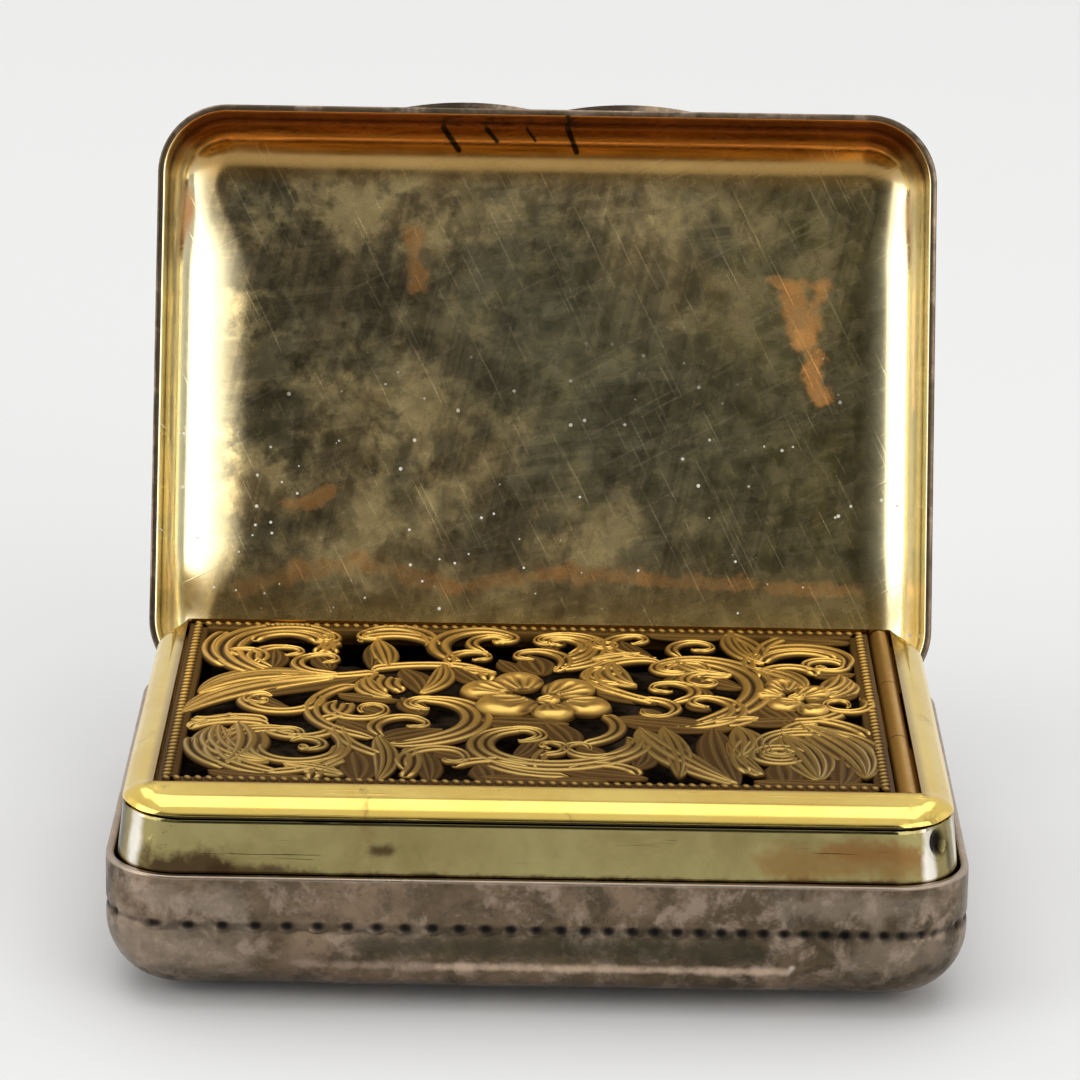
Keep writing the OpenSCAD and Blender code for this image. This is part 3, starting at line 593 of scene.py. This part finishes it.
def use(tree, group, vector, **ins):
    """Places a shared effect with its own values."""
    n = tree.nodes.new("ShaderNodeGroup")
    n.node_tree = group
    feed(tree, n, {"Vector": vector, **ins})
    return n.outputs[0]


def streak(tree, vector, start, end, width, softness, ragged):
    """Places a Streak."""
    return use(tree, STREAK, vector, Start=start, End=end, Width=width, Softness=softness, Ragged=ragged)


def new_finish(name, **constants):
    """A material with a Principled shader, and its coordinates in millimetres."""
    material = bpy.data.materials.new(name)
    material.use_nodes = True
    tree = material.node_tree
    shader = tree.nodes["Principled BSDF"]
    feed(tree, shader, {key.replace("_", " "): value for key, value in constants.items()})
    return material, tree, shader, scaled(tree, node(tree, "TexCoord").outputs["Object"], 1 / MM)


def attribute(tree, name, output="Fac"):
    """One of the piece's own point attributes: relief is a number, place a vector."""
    return node(tree, "Attribute", attribute_name=name, attribute_type="GEOMETRY").outputs[output]


def bump(tree, height, distance, strength=1.0):
    """A normal from a height, with the distance in millimetres."""
    return node(tree, "Bump", {"Height": height, "Distance": distance * MM, "Strength": strength}).outputs[0]


# Finishes

# Marks on the base's front, as lines from x, z to x, z with a width, a raggedness, a strength and a colour:
# dark along the dots, partly tarnish and partly a painted reflection of the shadowed floor; pale at both ends;
# and a painted highlight along the strip, with a painted glint at its right end
BASE_FRONT = -13.4
BASE_MARKS = [(-7.0, 3.0, 9.0, 3.0, 0.9, 0.9, 0.75, (0.05, 0.045, 0.028)),
              (-17.0, 2.6, -13.0, 2.3, 2.4, 2.2, 0.36, (0.5, 0.4, 0.31)),
              (13.4, 2.4, 16.6, 2.8, 1.8, 2.2, 0.28, (0.46, 0.37, 0.29)),
              (-17.0, 4.9, -12.5, 4.7, 1.0, 1.4, 0.3, (0.5, 0.41, 0.32)),
              (10.0, 5.0, 17.0, 4.9, 0.9, 1.4, 0.25, (0.5, 0.41, 0.32)),
              # painted highlight along the strip's top edge, fading out to the left, then a painted glint at its
              # right end
              (-10.0, 2.0, -3.0, 2.0, 0.35, 0.5, 0.35, (0.6, 0.46, 0.36)),
              (-4.0, 2.02, 10.4, 2.02, 0.3, 0.3, 0.8, (0.66, 0.49, 0.36)),
              (10.45, 1.75, 10.6, 2.2, 0.22, 0.05, 0.9, (0.9, 0.8, 0.68))]


def worn_silver():
    """Old silver: pinkish grey metal, cloudy brown tarnish, black in the punched dots, paler patches, scratches,
    and painted highlights along the base's top edge and its front strip.
    """
    material, tree, shader, mm = new_finish("worn silver", Metallic=1.0)
    cloud = use(tree, PATCHES, mm, Scale=0.16, Level=0.5, Softness=0.13, Seed=1.0)
    stain = use(tree, PATCHES, mm, Scale=0.42, Level=0.56, Softness=0.07, Seed=4.0)
    bright = use(tree, PATCHES, mm, Scale=0.75, Level=0.56, Softness=0.07, Seed=7.0)
    spots = use(tree, PATCHES, mm, Scale=1.3, Level=0.56, Softness=0.05, Seed=11.0)
    lines = use(tree, HAIRLINES, mm, Scale=2.2, Turn=0.2, Level=0.6, Seed=2.0)
    z = node(tree, "SeparateXYZ", {0: mm}).outputs[2]
    # painted highlight along the top edge of the base, where its rim catches the light
    rim = times(tree, ramp(tree, z, 5.72, 5.88), ramp(tree, z, 5.95, 6.2, 0.6, 0.0))
    dots = attribute(tree, "relief")
    y = BASE_FRONT
    marks = [(streak(tree, mm, (x0, y, z0), (x1, y, z1), width, width * 0.9, ragged), share, tone)
             for x0, z0, x1, z1, width, ragged, share, tone in BASE_MARKS]
    colour = coats(tree, blend(tree, cloud, (0.26, 0.185, 0.122), (0.11, 0.08, 0.048)), [
        (stain, 0.7, (0.06, 0.047, 0.032)),
        (bright, 0.6, (0.42, 0.32, 0.24)),
        (spots, 0.4, (0.07, 0.055, 0.04)),
        *marks,
        (rim, 1.0, (0.62, 0.5, 0.4)),
        (dots, 1.0, (0.015, 0.014, 0.014))])
    rough = added(tree, 0.24, (cloud, 0.14), (stain, 0.16), (dots, 0.4))
    height = added(tree, 0.0, (stain, 0.4), (lines, -0.5))
    feed(tree, shader, {"Base Color": colour, "Roughness": rough, "Normal": bump(tree, height, 0.02, 0.6)})
    return material


# Wear inside the lid, as lines from x, y to x, y on its floor with a width: bare copper, with a strength, and
# the dark nicks under the front rim
COPPER = [
    (-6.3, -8.1, -6, -5.6, 0.6, 0.6), (-11.9, 4.7, -9.8, 4.1, 0.45, 0.7), (10.9, -6.1, 13.2, -5.9, 0.4, 0.5),
    (11.6, -5.5, 12.3, -3.6, 0.9, 0.7), (12.3, -3.6, 13, -0.8, 0.65, 0.9), (12.9, -5.6, 12.7, -4, 0.55, 0.6),
    (-14.1, 8.8, -11.3, 7.8, 0.6, 0.4), (-11.3, 7.8, -8.5, 7.3, 0.7, 0.5), (-8.5, 7.3, -4.3, 8.5, 0.6, 0.45),
    (-4.3, 8.5, 0.9, 7.7, 0.5, 0.45), (0.9, 7.7, 4.7, 8, 0.55, 0.5), (4.7, 8, 15, 8.4, 0.45, 0.4)]
NICKS = [(-4.9, -13.0, -4.2, -12.1, 0.17), (-2.9, -13.0, -2.4, -12.5, 0.13), (-1.0, -13.0, -0.6, -12.55, 0.11),
         (0.9, -13.1, 1.35, -12.1, 0.17)]


def lid_gilding():
    """Gilding inside the lid: clean gold round the coves, lightened as painted highlight; amber and a darker gold
    band under the front rim as a painted reflection of the gilt below; and a floor dulled to olive and brown with
    a greener middle and painted shade to its right, worn to copper, scratched and dusty."""
    material, tree, shader, _ = new_finish("lid gilding", Metallic=1.0)
    x, y, height = node(tree, "SeparateXYZ", {0: attribute(tree, "place", "Vector")}).outputs
    flat = node(tree, "CombineXYZ", {0: x, 1: y}).outputs[0]
    cloud = use(tree, PATCHES, flat, Scale=0.15, Level=0.5, Softness=0.08, Seed=2.0)
    brown = use(tree, PATCHES, flat, Scale=0.24, Level=0.5, Softness=0.07, Seed=5.0)
    fine = use(tree, PATCHES, flat, Scale=1.1, Level=0.5, Softness=0.2, Seed=6.0)
    flecks = use(tree, PATCHES, flat, Scale=0.5, Level=0.53, Softness=0.06, Seed=3.0)
    lines = math(tree, "ADD", use(tree, HAIRLINES, flat, Scale=2.0, Turn=0.5, Level=0.58, Seed=3.0),
                 use(tree, HAIRLINES, flat, Scale=2.6, Turn=-1.1, Level=0.6, Seed=8.0))
    brushed = added(tree, 0.0, (cloud, use(tree, HAIRLINES, flat, Scale=0.6, Turn=0.12, Level=0.42, Seed=4.0)),
                    (brown, use(tree, HAIRLINES, flat, Scale=0.6, Turn=1.35, Level=0.45, Seed=7.0)))
    middle = streak(tree, flat, (0.0, -3.0, 0.0), (8.0, 1.5, 0.0), 8.5, 7.5, 3.0)
    dark = streak(tree, flat, (-12.0, -8.0, 0.0), (-3.0, -3.0, 0.0), 5.0, 4.0, 5.0)
    spread = times(tree, ramp(tree, x, -14.0, 5.0, 0.75, 0.3), ramp(tree, y, 2.0, 9.0, 1.0, 0.3))
    bare = [(streak(tree, flat, (x0, y0, 0.0), (x1, y1, 0.0), width, width * 0.7, 0.9),
             ramp(tree, fine, 0.0, 1.0, share, share * 0.6), (1.0, 0.47, 0.14))
            for x0, y0, x1, y1, width, share in COPPER]
    cove = ramp(tree, height, 0.0, 0.55)
    nicks = [(streak(tree, flat, (x0, y0, 0.0), (x1, y1, 0.0), width, 0.08, 0.05), 1.0, (0.035, 0.02, 0.01))
             for x0, y0, x1, y1, width in NICKS]
    dust = times(tree, use(tree, SPECKS, flat, Scale=1.5, Size=0.14, Share=0.8), ramp(tree, y, -6.0, 7.0))
    colour = coats(tree, blend(tree, cloud, (1.0, 0.76, 0.33), (0.42, 0.35, 0.18)), [
        (brown, 0.75, (0.22, 0.14, 0.06)),
        (middle, 0.72, (0.15, 0.16, 0.095)),
        # painted shade: the floor darkened towards its right
        (ramp(tree, x, 3.0, 12.0), 0.8, (0.12, 0.1, 0.032)),
        (dark, 0.2, (0.2, 0.19, 0.13)),
        (flecks, spread, (0.05, 0.045, 0.03)),
        (fine, 0.3, (0.5, 0.4, 0.22)),
        (brushed, 0.33, (0.07, 0.06, 0.035)),
        (lines, 0.25, (0.5, 0.42, 0.27)),
        (ramp(tree, y, 6.5, 10.0), 0.4, (0.5, 0.33, 0.11)),
        *bare,
        # clean paler gold over the coves and walls, lightened as painted highlight so their reflections read
        # white
        (cove, 1.0, (1.0, 0.89, 0.55)),
        # painted reflection of the gilt grille and frame: a darker gold band and amber under the front rim
        (ramp(tree, y, -11.4, -10.2, 1.0, 0.0), 0.9, (0.42, 0.25, 0.075)),
        (ramp(tree, y, -12.6, -11.6, 1.0, 0.0), 0.92, (0.5, 0.17, 0.03)),
        *nicks,
        (dust, 1.0, (0.95, 0.93, 0.88))])
    rough = added(tree, ramp(tree, cove, 0.0, 1.0, 0.24, 0.13), (fine, 0.06), (dust, 0.5))
    feed(tree, shader, {"Base Color": colour, "Roughness": rough, "Normal": bump(tree, lines, 0.006, 0.3)})
    return material


# Stains on the collar's front, as lines from x, z to x, z with a width, a strength and a colour; the long one at
# z 5.75 is a dark line along the collar's foot, where it meets the base
COLLAR_FRONT = -13.0
SOOT, RUST = (0.055, 0.03, 0.014), (0.26, 0.12, 0.035)
COLLAR_MARKS = [(-6.7, 7.0, -6.3, 7.0, 0.5, 0.85, SOOT), (-18.0, 6.0, -13.2, 6.2, 1.1, 0.9, SOOT),
                (-13.2, 6.0, -9.0, 5.8, 0.6, 0.85, SOOT), (-9.0, 5.75, 17.0, 5.8, 0.33, 0.9, SOOT),
                (9.6, 6.7, 15.5, 6.9, 1.0, 0.6, RUST), (12.0, 7.3, 15.8, 7.2, 0.6, 0.6, RUST)]

# Its corners, as upright streaks at x, y with a width, a strength and a colour: painted highlights, and painted
# dark reflections beside them
PAINTED_HIGHLIGHT, PAINTED_DARK_REFLECTION = (1.0, 0.95, 0.85), (0.02, 0.016, 0.012)
COLLAR_CORNER_REFLECTIONS = [(-16.7, -12, 0.55, 0.9, PAINTED_HIGHLIGHT), (-17.4, -10.8, 0.85, 0.85, PAINTED_DARK_REFLECTION),
                (16.2, -12.5, 0.45, 0.85, PAINTED_HIGHLIGHT), (17, -11.6, 0.35, 0.7, PAINTED_DARK_REFLECTION), (17.3, -10.9, 0.35, 0.7, PAINTED_HIGHLIGHT)]


def pale_gilding(name, light, dark, rough, marks=(), edges=(), grime_and_shade=(0.3, 0.16, 0.045)):
    """Worn pale gilding of the collar, the frame plate and the hinge of the grille, with brown stains, painted
    highlights and dark reflections down the collar's corners, grime and painted shade laid by the relief values,
    and fine scratches."""
    material, tree, shader, mm = new_finish(name, Metallic=1.0)
    cloud = use(tree, PATCHES, mm, Scale=0.2, Level=0.52, Softness=0.15, Seed=3.0)
    stain = use(tree, PATCHES, mm, Scale=0.35, Level=0.64, Softness=0.06, Seed=9.0)
    lines = use(tree, HAIRLINES, mm, Scale=2.4, Turn=0.0, Level=0.6, Seed=6.0)
    front = COLLAR_FRONT
    marks = [(streak(tree, mm, (x0, front, z0), (x1, front, z1), width, width * 0.8, width), share, tone)
             for x0, z0, x1, z1, width, share, tone in marks]
    # painted highlights and dark reflections down the collar's corners
    edges = [(streak(tree, mm, (x, y, 6.0), (x, y, 8.6), width, width * 0.8, 0.25), share, tone)
             for x, y, width, share, tone in edges]
    colour = coats(tree, blend(tree, cloud, light, dark), [
        (stain, 0.6, (0.25, 0.15, 0.06)), *marks, *edges, (attribute(tree, "relief"), 1.0, grime_and_shade)])
    rough = added(tree, rough, (cloud, 0.1))
    feed(tree, shader, {"Base Color": colour, "Roughness": rough, "Normal": bump(tree, lines, 0.01, 0.4)})
    return material


def chased_gilding():
    """Gilding of the grille: bright on the ridges and oranger towards the back, dark brown in the grooves,
    hollows and low leaves, partly dirt and partly painted shade, and painted shade near black down the sides.
    """
    material, tree, shader, mm = new_finish("chased gilding", Metallic=1.0)
    cloud = use(tree, PATCHES, mm, Scale=0.5, Level=0.5, Softness=0.15, Seed=8.0)
    relief = attribute(tree, "relief")
    # dirt and painted shade where the relief values are low: grooves, hollows, bead feet and low leaves
    dirt_and_shade = ramp(tree, relief, 0.4, 1.0, 1.0, 0.0)
    y = node(tree, "SeparateXYZ", {0: mm}).outputs[1]
    ridge = blend(tree, ramp(tree, y, -7.0, 3.0), (0.43, 0.295, 0.085), (1.0, 0.62, 0.14))
    colour = coats(tree, ridge, [
        (cloud, 0.35, (0.6, 0.34, 0.09)),
        (dirt_and_shade, 0.92, (0.06, 0.022, 0.005)),
        # painted shade: near black on the upright sides, so they read as openings
        (ramp(tree, relief, 0.05, 0.3, 1.0, 0.0), 1.0, (0.02, 0.01, 0.004))])
    grain = node(tree, "TexNoise", {"Vector": mm, "Scale": 9.0, "Detail": 3.0}).outputs[0]
    feed(tree, shader, {"Base Color": colour, "Roughness": ramp(tree, dirt_and_shade, 0.0, 1.0, 0.34, 0.6),
                        "Normal": bump(tree, grain, 0.02, 0.35)})
    return material


def sponge_finish():
    """Old sponge, dark with dried scent, full of pores."""
    material, tree, shader, mm = new_finish("dried sponge", Specular_IOR_Level=0.1, Roughness=0.95)
    pores = {"Vector": mm, "Scale": 1.7, "Randomness": 1.0}
    pores = node(tree, "TexVoronoi", pores, feature="SMOOTH_F1").outputs["Distance"]
    fine = node(tree, "TexNoise", {"Vector": mm, "Scale": 4.0, "Detail": 5.0}).outputs[0]
    colour = blend(tree, ramp(tree, pores, 0.15, 0.6), (0.012, 0.008, 0.005), (0.06, 0.038, 0.02))
    colour = coats(tree, colour, [(fine, 0.5, (0.03, 0.02, 0.011))])
    feed(tree, shader, {"Base Color": colour, "Normal": bump(tree, added(tree, pores, (fine, 0.5)), 0.3)})
    return material


silver, lid_gilt, grille_gilt = worn_silver(), lid_gilding(), chased_gilding()
frame_gilt = pale_gilding("frame gilding", (0.93, 0.68, 0.17), (0.85, 0.59, 0.13), 0.12)
collar_gilt = pale_gilding("collar gilding", (0.37, 0.315, 0.13), (0.27, 0.22, 0.085), 0.1, COLLAR_MARKS,
                           COLLAR_CORNER_REFLECTIONS, (0.012, 0.008, 0.005))
hinge_gilt = pale_gilding("hinge gilding", (0.62, 0.35, 0.08), (0.45, 0.25, 0.055), 0.36)


# Pieces

def make_base():
    """Base: the shell, raised by the foot panel under it, which is a low plate with a rounded edge."""
    grid, dots, _ = pressed_shell(BASE_H - PANEL_T, strip=True)
    grid[..., 2] += PANEL_T
    grid = hinge_cut(grid, -1)
    obj = make_piece("base_shell", *ringed(grid), "base", "silver", [silver], dots)
    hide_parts("base_tray")
    r, e = PANEL_R, PANEL_EDGE
    section = np.concatenate([arc(r - e, e, e, -90, 0, 6), [(r, PANEL_T + 0.05)]])
    grid = filled(carried(rounded_path(PANEL_W, PANEL_D, r, 20, 20, 12), section), 7)
    panel = make_piece("foot_panel", *ringed(grid), "base", "silver", [silver], np.zeros(grid.shape[:2]))
    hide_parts("base_tray")


def lid_cove(x, y):
    """Width of the cove inside the lid: widest along the left side, drawn in to the corner radius at the
    corners."""
    lx, ly = BOX_W / 2 - CORNER_R, BOX_D / 2 - CORNER_R
    side = rise(np.abs(y), ly, ly - 4) * (np.abs(x) > lx - 1e-6)
    end = rise(np.abs(x), lx, lx - 4) * (np.abs(y) > ly - 1e-6)
    return EDGE_R - SHEET + side * np.where(x < 0, 2.0, 0.9) + end * 0.1


def make_lid():
    """Lid: the shell upside down, whose floor inside is a little uneven, turned back about the hinge."""
    grid, dots, n_out = pressed_shell(LID_H, cove=lid_cove)
    x, y = grid[..., 0], grid[..., 1]
    inner = np.arange(grid.shape[1])[None, :] >= n_out
    floor = inner * (grid[..., 2] < SHEET + 0.01)
    place = np.stack([x, y, np.where(inner, grid[..., 2] - SHEET, 0)], -1)
    grid[..., 2] += floor * (0.02 + 0.02 * ripple(x, y, 11.0, 4))
    grid[..., 2] = BASE_H + RIM_GAP + LID_H - grid[..., 2]
    points, faces = ringed(opened(hinge_cut(grid, 1)))
    inside = (faces % grid.shape[1]).min(1) >= n_out
    obj = make_piece("lid_shell_worked", points, faces, "lid", "silver", [silver, lid_gilt], dots, place,
                     inside)
    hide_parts("lid_shell")


def make_collar():
    """Collar: an upright band that leans in, with a drawn-in neck under the frame plate and a knock at one
    corner, exp of minus the fourth power of the distance / its size. Its corners are drawn in towards the top."""
    neck = [(-0.25, 2.16), (-0.27, 2.19), (-0.4, 2.23), (-0.46, 2.6)]
    outer = np.concatenate([line((0, -1.8), (0, 0), 4), line((0, 0), (-0.245, 2.12), 26), neck])
    section = np.concatenate([outer, outer[::-1] - (COLLAR_T, 0)]) + (COLLAR_R, BASE_H)
    path = rounded_path(COLLAR_W, COLLAR_D, COLLAR_R, 160, 90, 40)
    grid = carried(path, section)
    up = grid[..., 2] - BASE_H
    knock = grid[np.argmax(path[1] @ (0.72, -0.69)), np.argmin(np.abs(outer[:, 1] - 1.5))]
    away = np.linalg.norm((grid - knock) / KNOCK_SIZE, axis=-1)
    outside = np.arange(len(section)) < len(outer)
    # darker inside the knock, partly tarnish and partly painted shade, and painted shade in the neck under the
    # frame plate
    dirt_and_shade = np.maximum(np.exp(-(away / 1.1) ** 8) * outside, 0.9 * (up > 2.22))
    corner = np.abs(path[1].prod(1))[:, None] * 2
    push = -KNOCK_DEPTH * np.exp(-away ** 4) * outside - CORNER_DRAW * corner * np.clip(up / 2.6, 0, 1)
    push += COLLAR_WAVE * (ripple(grid[..., 0] + grid[..., 1], grid[..., 2] * 3, 7.0, 2) - 1)
    grid[..., :2] += path[1][:, None, :] * push[..., None]
    grid[..., 1] += COLLAR_Y
    obj = make_piece("collar_worked", *ringed(grid, tube=True), "base", "gilt", [collar_gilt], dirt_and_shade)
    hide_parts("collar_band")


def make_frame_plate():
    """Frame plate: rails that fall from the opening to a broad rolled edge. Each section runs from the
    opening's edge to the matching point of the outer edge, and the corners fan out from the opening's corners.
    The rolled edge is the curve x^1.5 + z^1.5 = 1 scaled to its width, less at the back, and its depth."""
    centre, normal = rounded_path(FRAME_W, FRAME_D, FRAME_R, 150, 110, 24)
    x0, x1, y0, y1 = OPENING
    half = np.array((FRAME_W / 2 - FRAME_R, FRAME_D / 2 - FRAME_R))
    inner = np.array((x0 + x1, y0 + y1)) / 2 + centre / half * np.array((x1 - x0, y1 - y0)) / 2
    wide = (ROLL_W - 0.4 * normal[:, 1].clip(0, 1))[:, None]
    outer = centre + (0, COLLAR_Y) + normal * (FRAME_R - wide)
    v, high = np.linspace(0, 1, 8), FRAME_TOP - 0.01
    drop = RAIL_SLOPE * np.linalg.norm(outer - inner, axis=1).clip(0, 0.8)[:, None]
    rail = inner[:, None, :] + (outer - inner)[:, None, :] * v[None, :, None]
    a = np.radians(np.linspace(4, 90, 20))
    out, up = np.sin(a) ** (4 / 3), np.cos(a).clip(0) ** (4 / 3)
    edge = outer[:, None, :] + normal[:, None, :] * (wide * out)[..., None]
    grid = np.concatenate([lifted(rail, high - drop * v), lifted(edge, high - drop - ROLL_D + ROLL_D * up),
                           lifted(rail[:, ::-1], FRAME_TOP - FRAME_T)], 1)
    # brown along the opening: grime, and on the side rails, where it is wider, partly painted shade
    x, y = grid[..., 0], grid[..., 1]
    inset = np.min([x - x0, x1 - x, y - y0, y1 - y], axis=0)
    grime_and_shade = 0.75 * rise(inset, -np.where(np.abs(x) > x1, 0.45, 0.2), 0)
    obj = make_piece("frame_plate_worked", *ringed(grid, tube=True), "base", "gilt", [frame_gilt], grime_and_shade)
    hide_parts("frame_plate")


def make_grille():
    """Grille: scrolls and stems, then leaves and flowers in relief on a flat rim, with a beaded border on the
    rim."""
    parts = [scroll(s, k) for k, s in enumerate(np.concatenate([SCROLLS, TENDRILS]))]
    parts += [stem(s, k) for k, s in enumerate(np.concatenate([STEMS, TWIGS]))]
    points, faces, values = joined(parts)
    points += GRILLE_PLACE
    obj = make_piece("grille_scrolls", points, faces, "grille", "gilt", [grille_gilt], values, sharp=50)
    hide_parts("grille_scrollwork")
    parts = [leaf(f, k) for k, f in enumerate(np.concatenate([FRONDS, LEAVES]))]
    parts += [leaf(f, k, SPRAY_SHARE) for k, f in enumerate(SPRAYS)]
    tops = [0.32 + 0.03 * k if k < 6 else 0.28 for k in range(len(PETALS))]
    parts += [petal(x, y, r, np.radians(a), GRILLE_T + top) for (x, y, r, a), top in zip(PETALS, tops)]
    parts += [petal(x, y, r, 0, GRILLE_T + 0.25) for x, y, r in BOSSES]
    out, into, bevel = GRILLE_R, GRILLE_R - GRILLE_RIM, 0.05
    section = np.array([(out, 0), (out, GRILLE_T - bevel), (out - bevel, GRILLE_T),
                        (into + bevel, GRILLE_T), (into, GRILLE_T - bevel), (into, 0)])
    rim = carried(rounded_path(GRILLE_W, GRILLE_D, GRILLE_R, 60, 40, 6), section)
    parts.append((*ringed(rim, tube=True), np.full(rim[..., 0].size, 0.45)))
    points, faces, values = joined(parts)
    points += GRILLE_PLACE
    obj = make_piece("grille_foliage", points, faces, "grille", "gilt", [grille_gilt], values, sharp=50)
    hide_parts("grille_scrollwork")
    w, d = GRILLE_W / 2 - 0.4, GRILLE_D / 2 - 0.4
    points, faces, values = bead_row(-w, w, -d + 0.15, d)
    points += GRILLE_PLACE + (0, 0, GRILLE_T)
    obj = make_piece("grille_beading", points, faces, "grille", "gilt", [grille_gilt], values)
    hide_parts("grille_border")


def make_sponge():
    """Sponge: a cushion with crowned top and bottom and soft sides, its skin broken up by lumps that draw it in
    towards its middle."""
    low, high = (np.array(corner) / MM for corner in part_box("sponge"))
    w, d, h = high - low
    r, soft, top = 2.5, 2, 1.2
    section = np.concatenate([arc(r - soft, soft, soft, -90, 0, 10), line((r, soft + 0.2), (r, h - top), 6),
                              arc(r - top, h - top, top, 0, 90, 8)])
    grid = filled(carried(rounded_path(w, d, r, 90, 60, 14), section), 33)
    x, y, z = (grid[..., k] for k in range(3))
    lumps = 0.5 + 0.25 * ripple(x + z, y - z, 2.6, 1) + 0.25 * ripple(x - z, y + z, 1.2, 3)
    centre = np.array([0, 0, h / 2])
    grid = centre + (grid - centre) * (1 - (0.06 * lumps)[..., None] * (0.5, 0.7, 1.6))
    grid += ((low[0] + high[0]) / 2, (low[1] + high[1]) / 2, low[2])
    obj = make_piece("sponge_porous", *ringed(grid), "base", "sponge", [sponge_finish()], sharp=180)
    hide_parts("sponge")


def dress_solids():
    """The small hinge pieces keep their solids and get the finish of their metal."""
    gilt = [s["node"] for s in frame["record"]["subparts"] if s["material_slot"] == "gilt"]
    for name, solid in frame["nodes"].items():
        solid.data.materials.clear()
        solid.data.materials.append(hinge_gilt if name in gilt else silver)


def placed(name, data, right, up, back, place):
    """A light or a camera in the scene, from its axes and its place."""
    obj = bpy.data.objects.new(name, data)
    obj.matrix_world = Matrix(np.vstack([np.column_stack([right, up, back, place]), (0, 0, 0, 1)]).tolist())
    bpy.context.scene.collection.objects.link(obj)
    return obj


# Soft lights: place, width, depth and power
SOFTBOXES = {"right": ((0.43, -0.47, 0.2), 0.68, 0.6, 2.4), "left": ((-0.58, -0.22, 0.2), 0.46, 0.5, 1.4),
             "top": ((0.0, 0.16, 0.66), 0.8, 0.7, 2.0)}


def make_stage():
    """Plain pale floor, a light tent with a dark opening where the camera looks in, and soft lights at both
    sides and above that face the box."""
    mesh = bpy.data.meshes.new("floor")
    mesh.from_pydata([(-2, -2, 0), (2, -2, 0), (2, 2, 0), (-2, 2, 0)], [], [(0, 1, 2, 3)])
    floor = bpy.data.objects.new("floor", mesh)
    bpy.context.scene.collection.objects.link(floor)
    mesh.materials.append(new_finish("pale table", Roughness=0.6, Base_Color=(0.755, 0.755, 0.75, 1))[0])

    world = bpy.data.worlds.new("light tent")
    bpy.context.scene.world = world
    world.use_nodes = True
    tree = world.node_tree
    way = node(tree, "TexCoord").outputs["Generated"]
    x, y, z = node(tree, "SeparateXYZ", {0: way}).outputs
    # the opening, brighter sides and a dim low front
    opening = ramp(tree, vectors(tree, "DOT_PRODUCT", way, (0.06, -0.958, 0.28)), 0.96, 0.996, 0.76, 0.1)
    sides = times(tree, ramp(tree, math(tree, "ABSOLUTE", x), 0.72, 0.9), ramp(tree, y, -0.42, -0.2))
    front = math(tree, "MAXIMUM", ramp(tree, y, -0.5, 0.3, 0.25, 1.0), ramp(tree, z, 0.5, 0.75, 0.25, 1.0))
    glow = times(tree, times(tree, opening, ramp(tree, sides, 0.0, 1.0, 1.0, 1.3)), front)
    seen = node(tree, "LightPath").outputs["Is Camera Ray"]
    level = node(tree, "Mix", {0: seen, 2: glow, 3: 0.85}, data_type="FLOAT").outputs[0]
    feed(tree, tree.nodes["Background"], {"Color": (1, 1, 1, 1), "Strength": level})

    for name, (place, wide, deep, power) in SOFTBOXES.items():
        light = bpy.data.lights.new("softbox " + name, "AREA")
        light.shape, light.size, light.size_y, light.energy = "RECTANGLE", wide, deep, power
        back = np.array(place) / np.linalg.norm(place)
        side = np.cross((0, 0, 1), back)
        side /= np.linalg.norm(side)
        placed("softbox " + name, light, side, np.cross(back, side), back, place)


def make_camera():
    """Camera at the photograph's place, found from the box's corners."""
    camera = bpy.data.cameras.new("camera")
    camera.lens, camera.sensor_width = 173.07, 36.0
    camera.clip_start, camera.clip_end = 0.01, 10
    right, up = (0.99986661, 0.00366872, 0.01591533), (-0.01629124, 0.29341348, 0.95584681)
    back, place = (-0.00116304, -0.95597859, 0.29343411), (-0.000358, -0.213507, 0.08202)
    bpy.context.scene.camera = placed("camera", camera, right, up, back, place)


dress_solids()
make_base()
make_lid()
make_collar()
make_frame_plate()
make_grille()
make_sponge()
make_stage()
make_camera()
bpy.context.scene.view_settings.view_transform = "Standard"
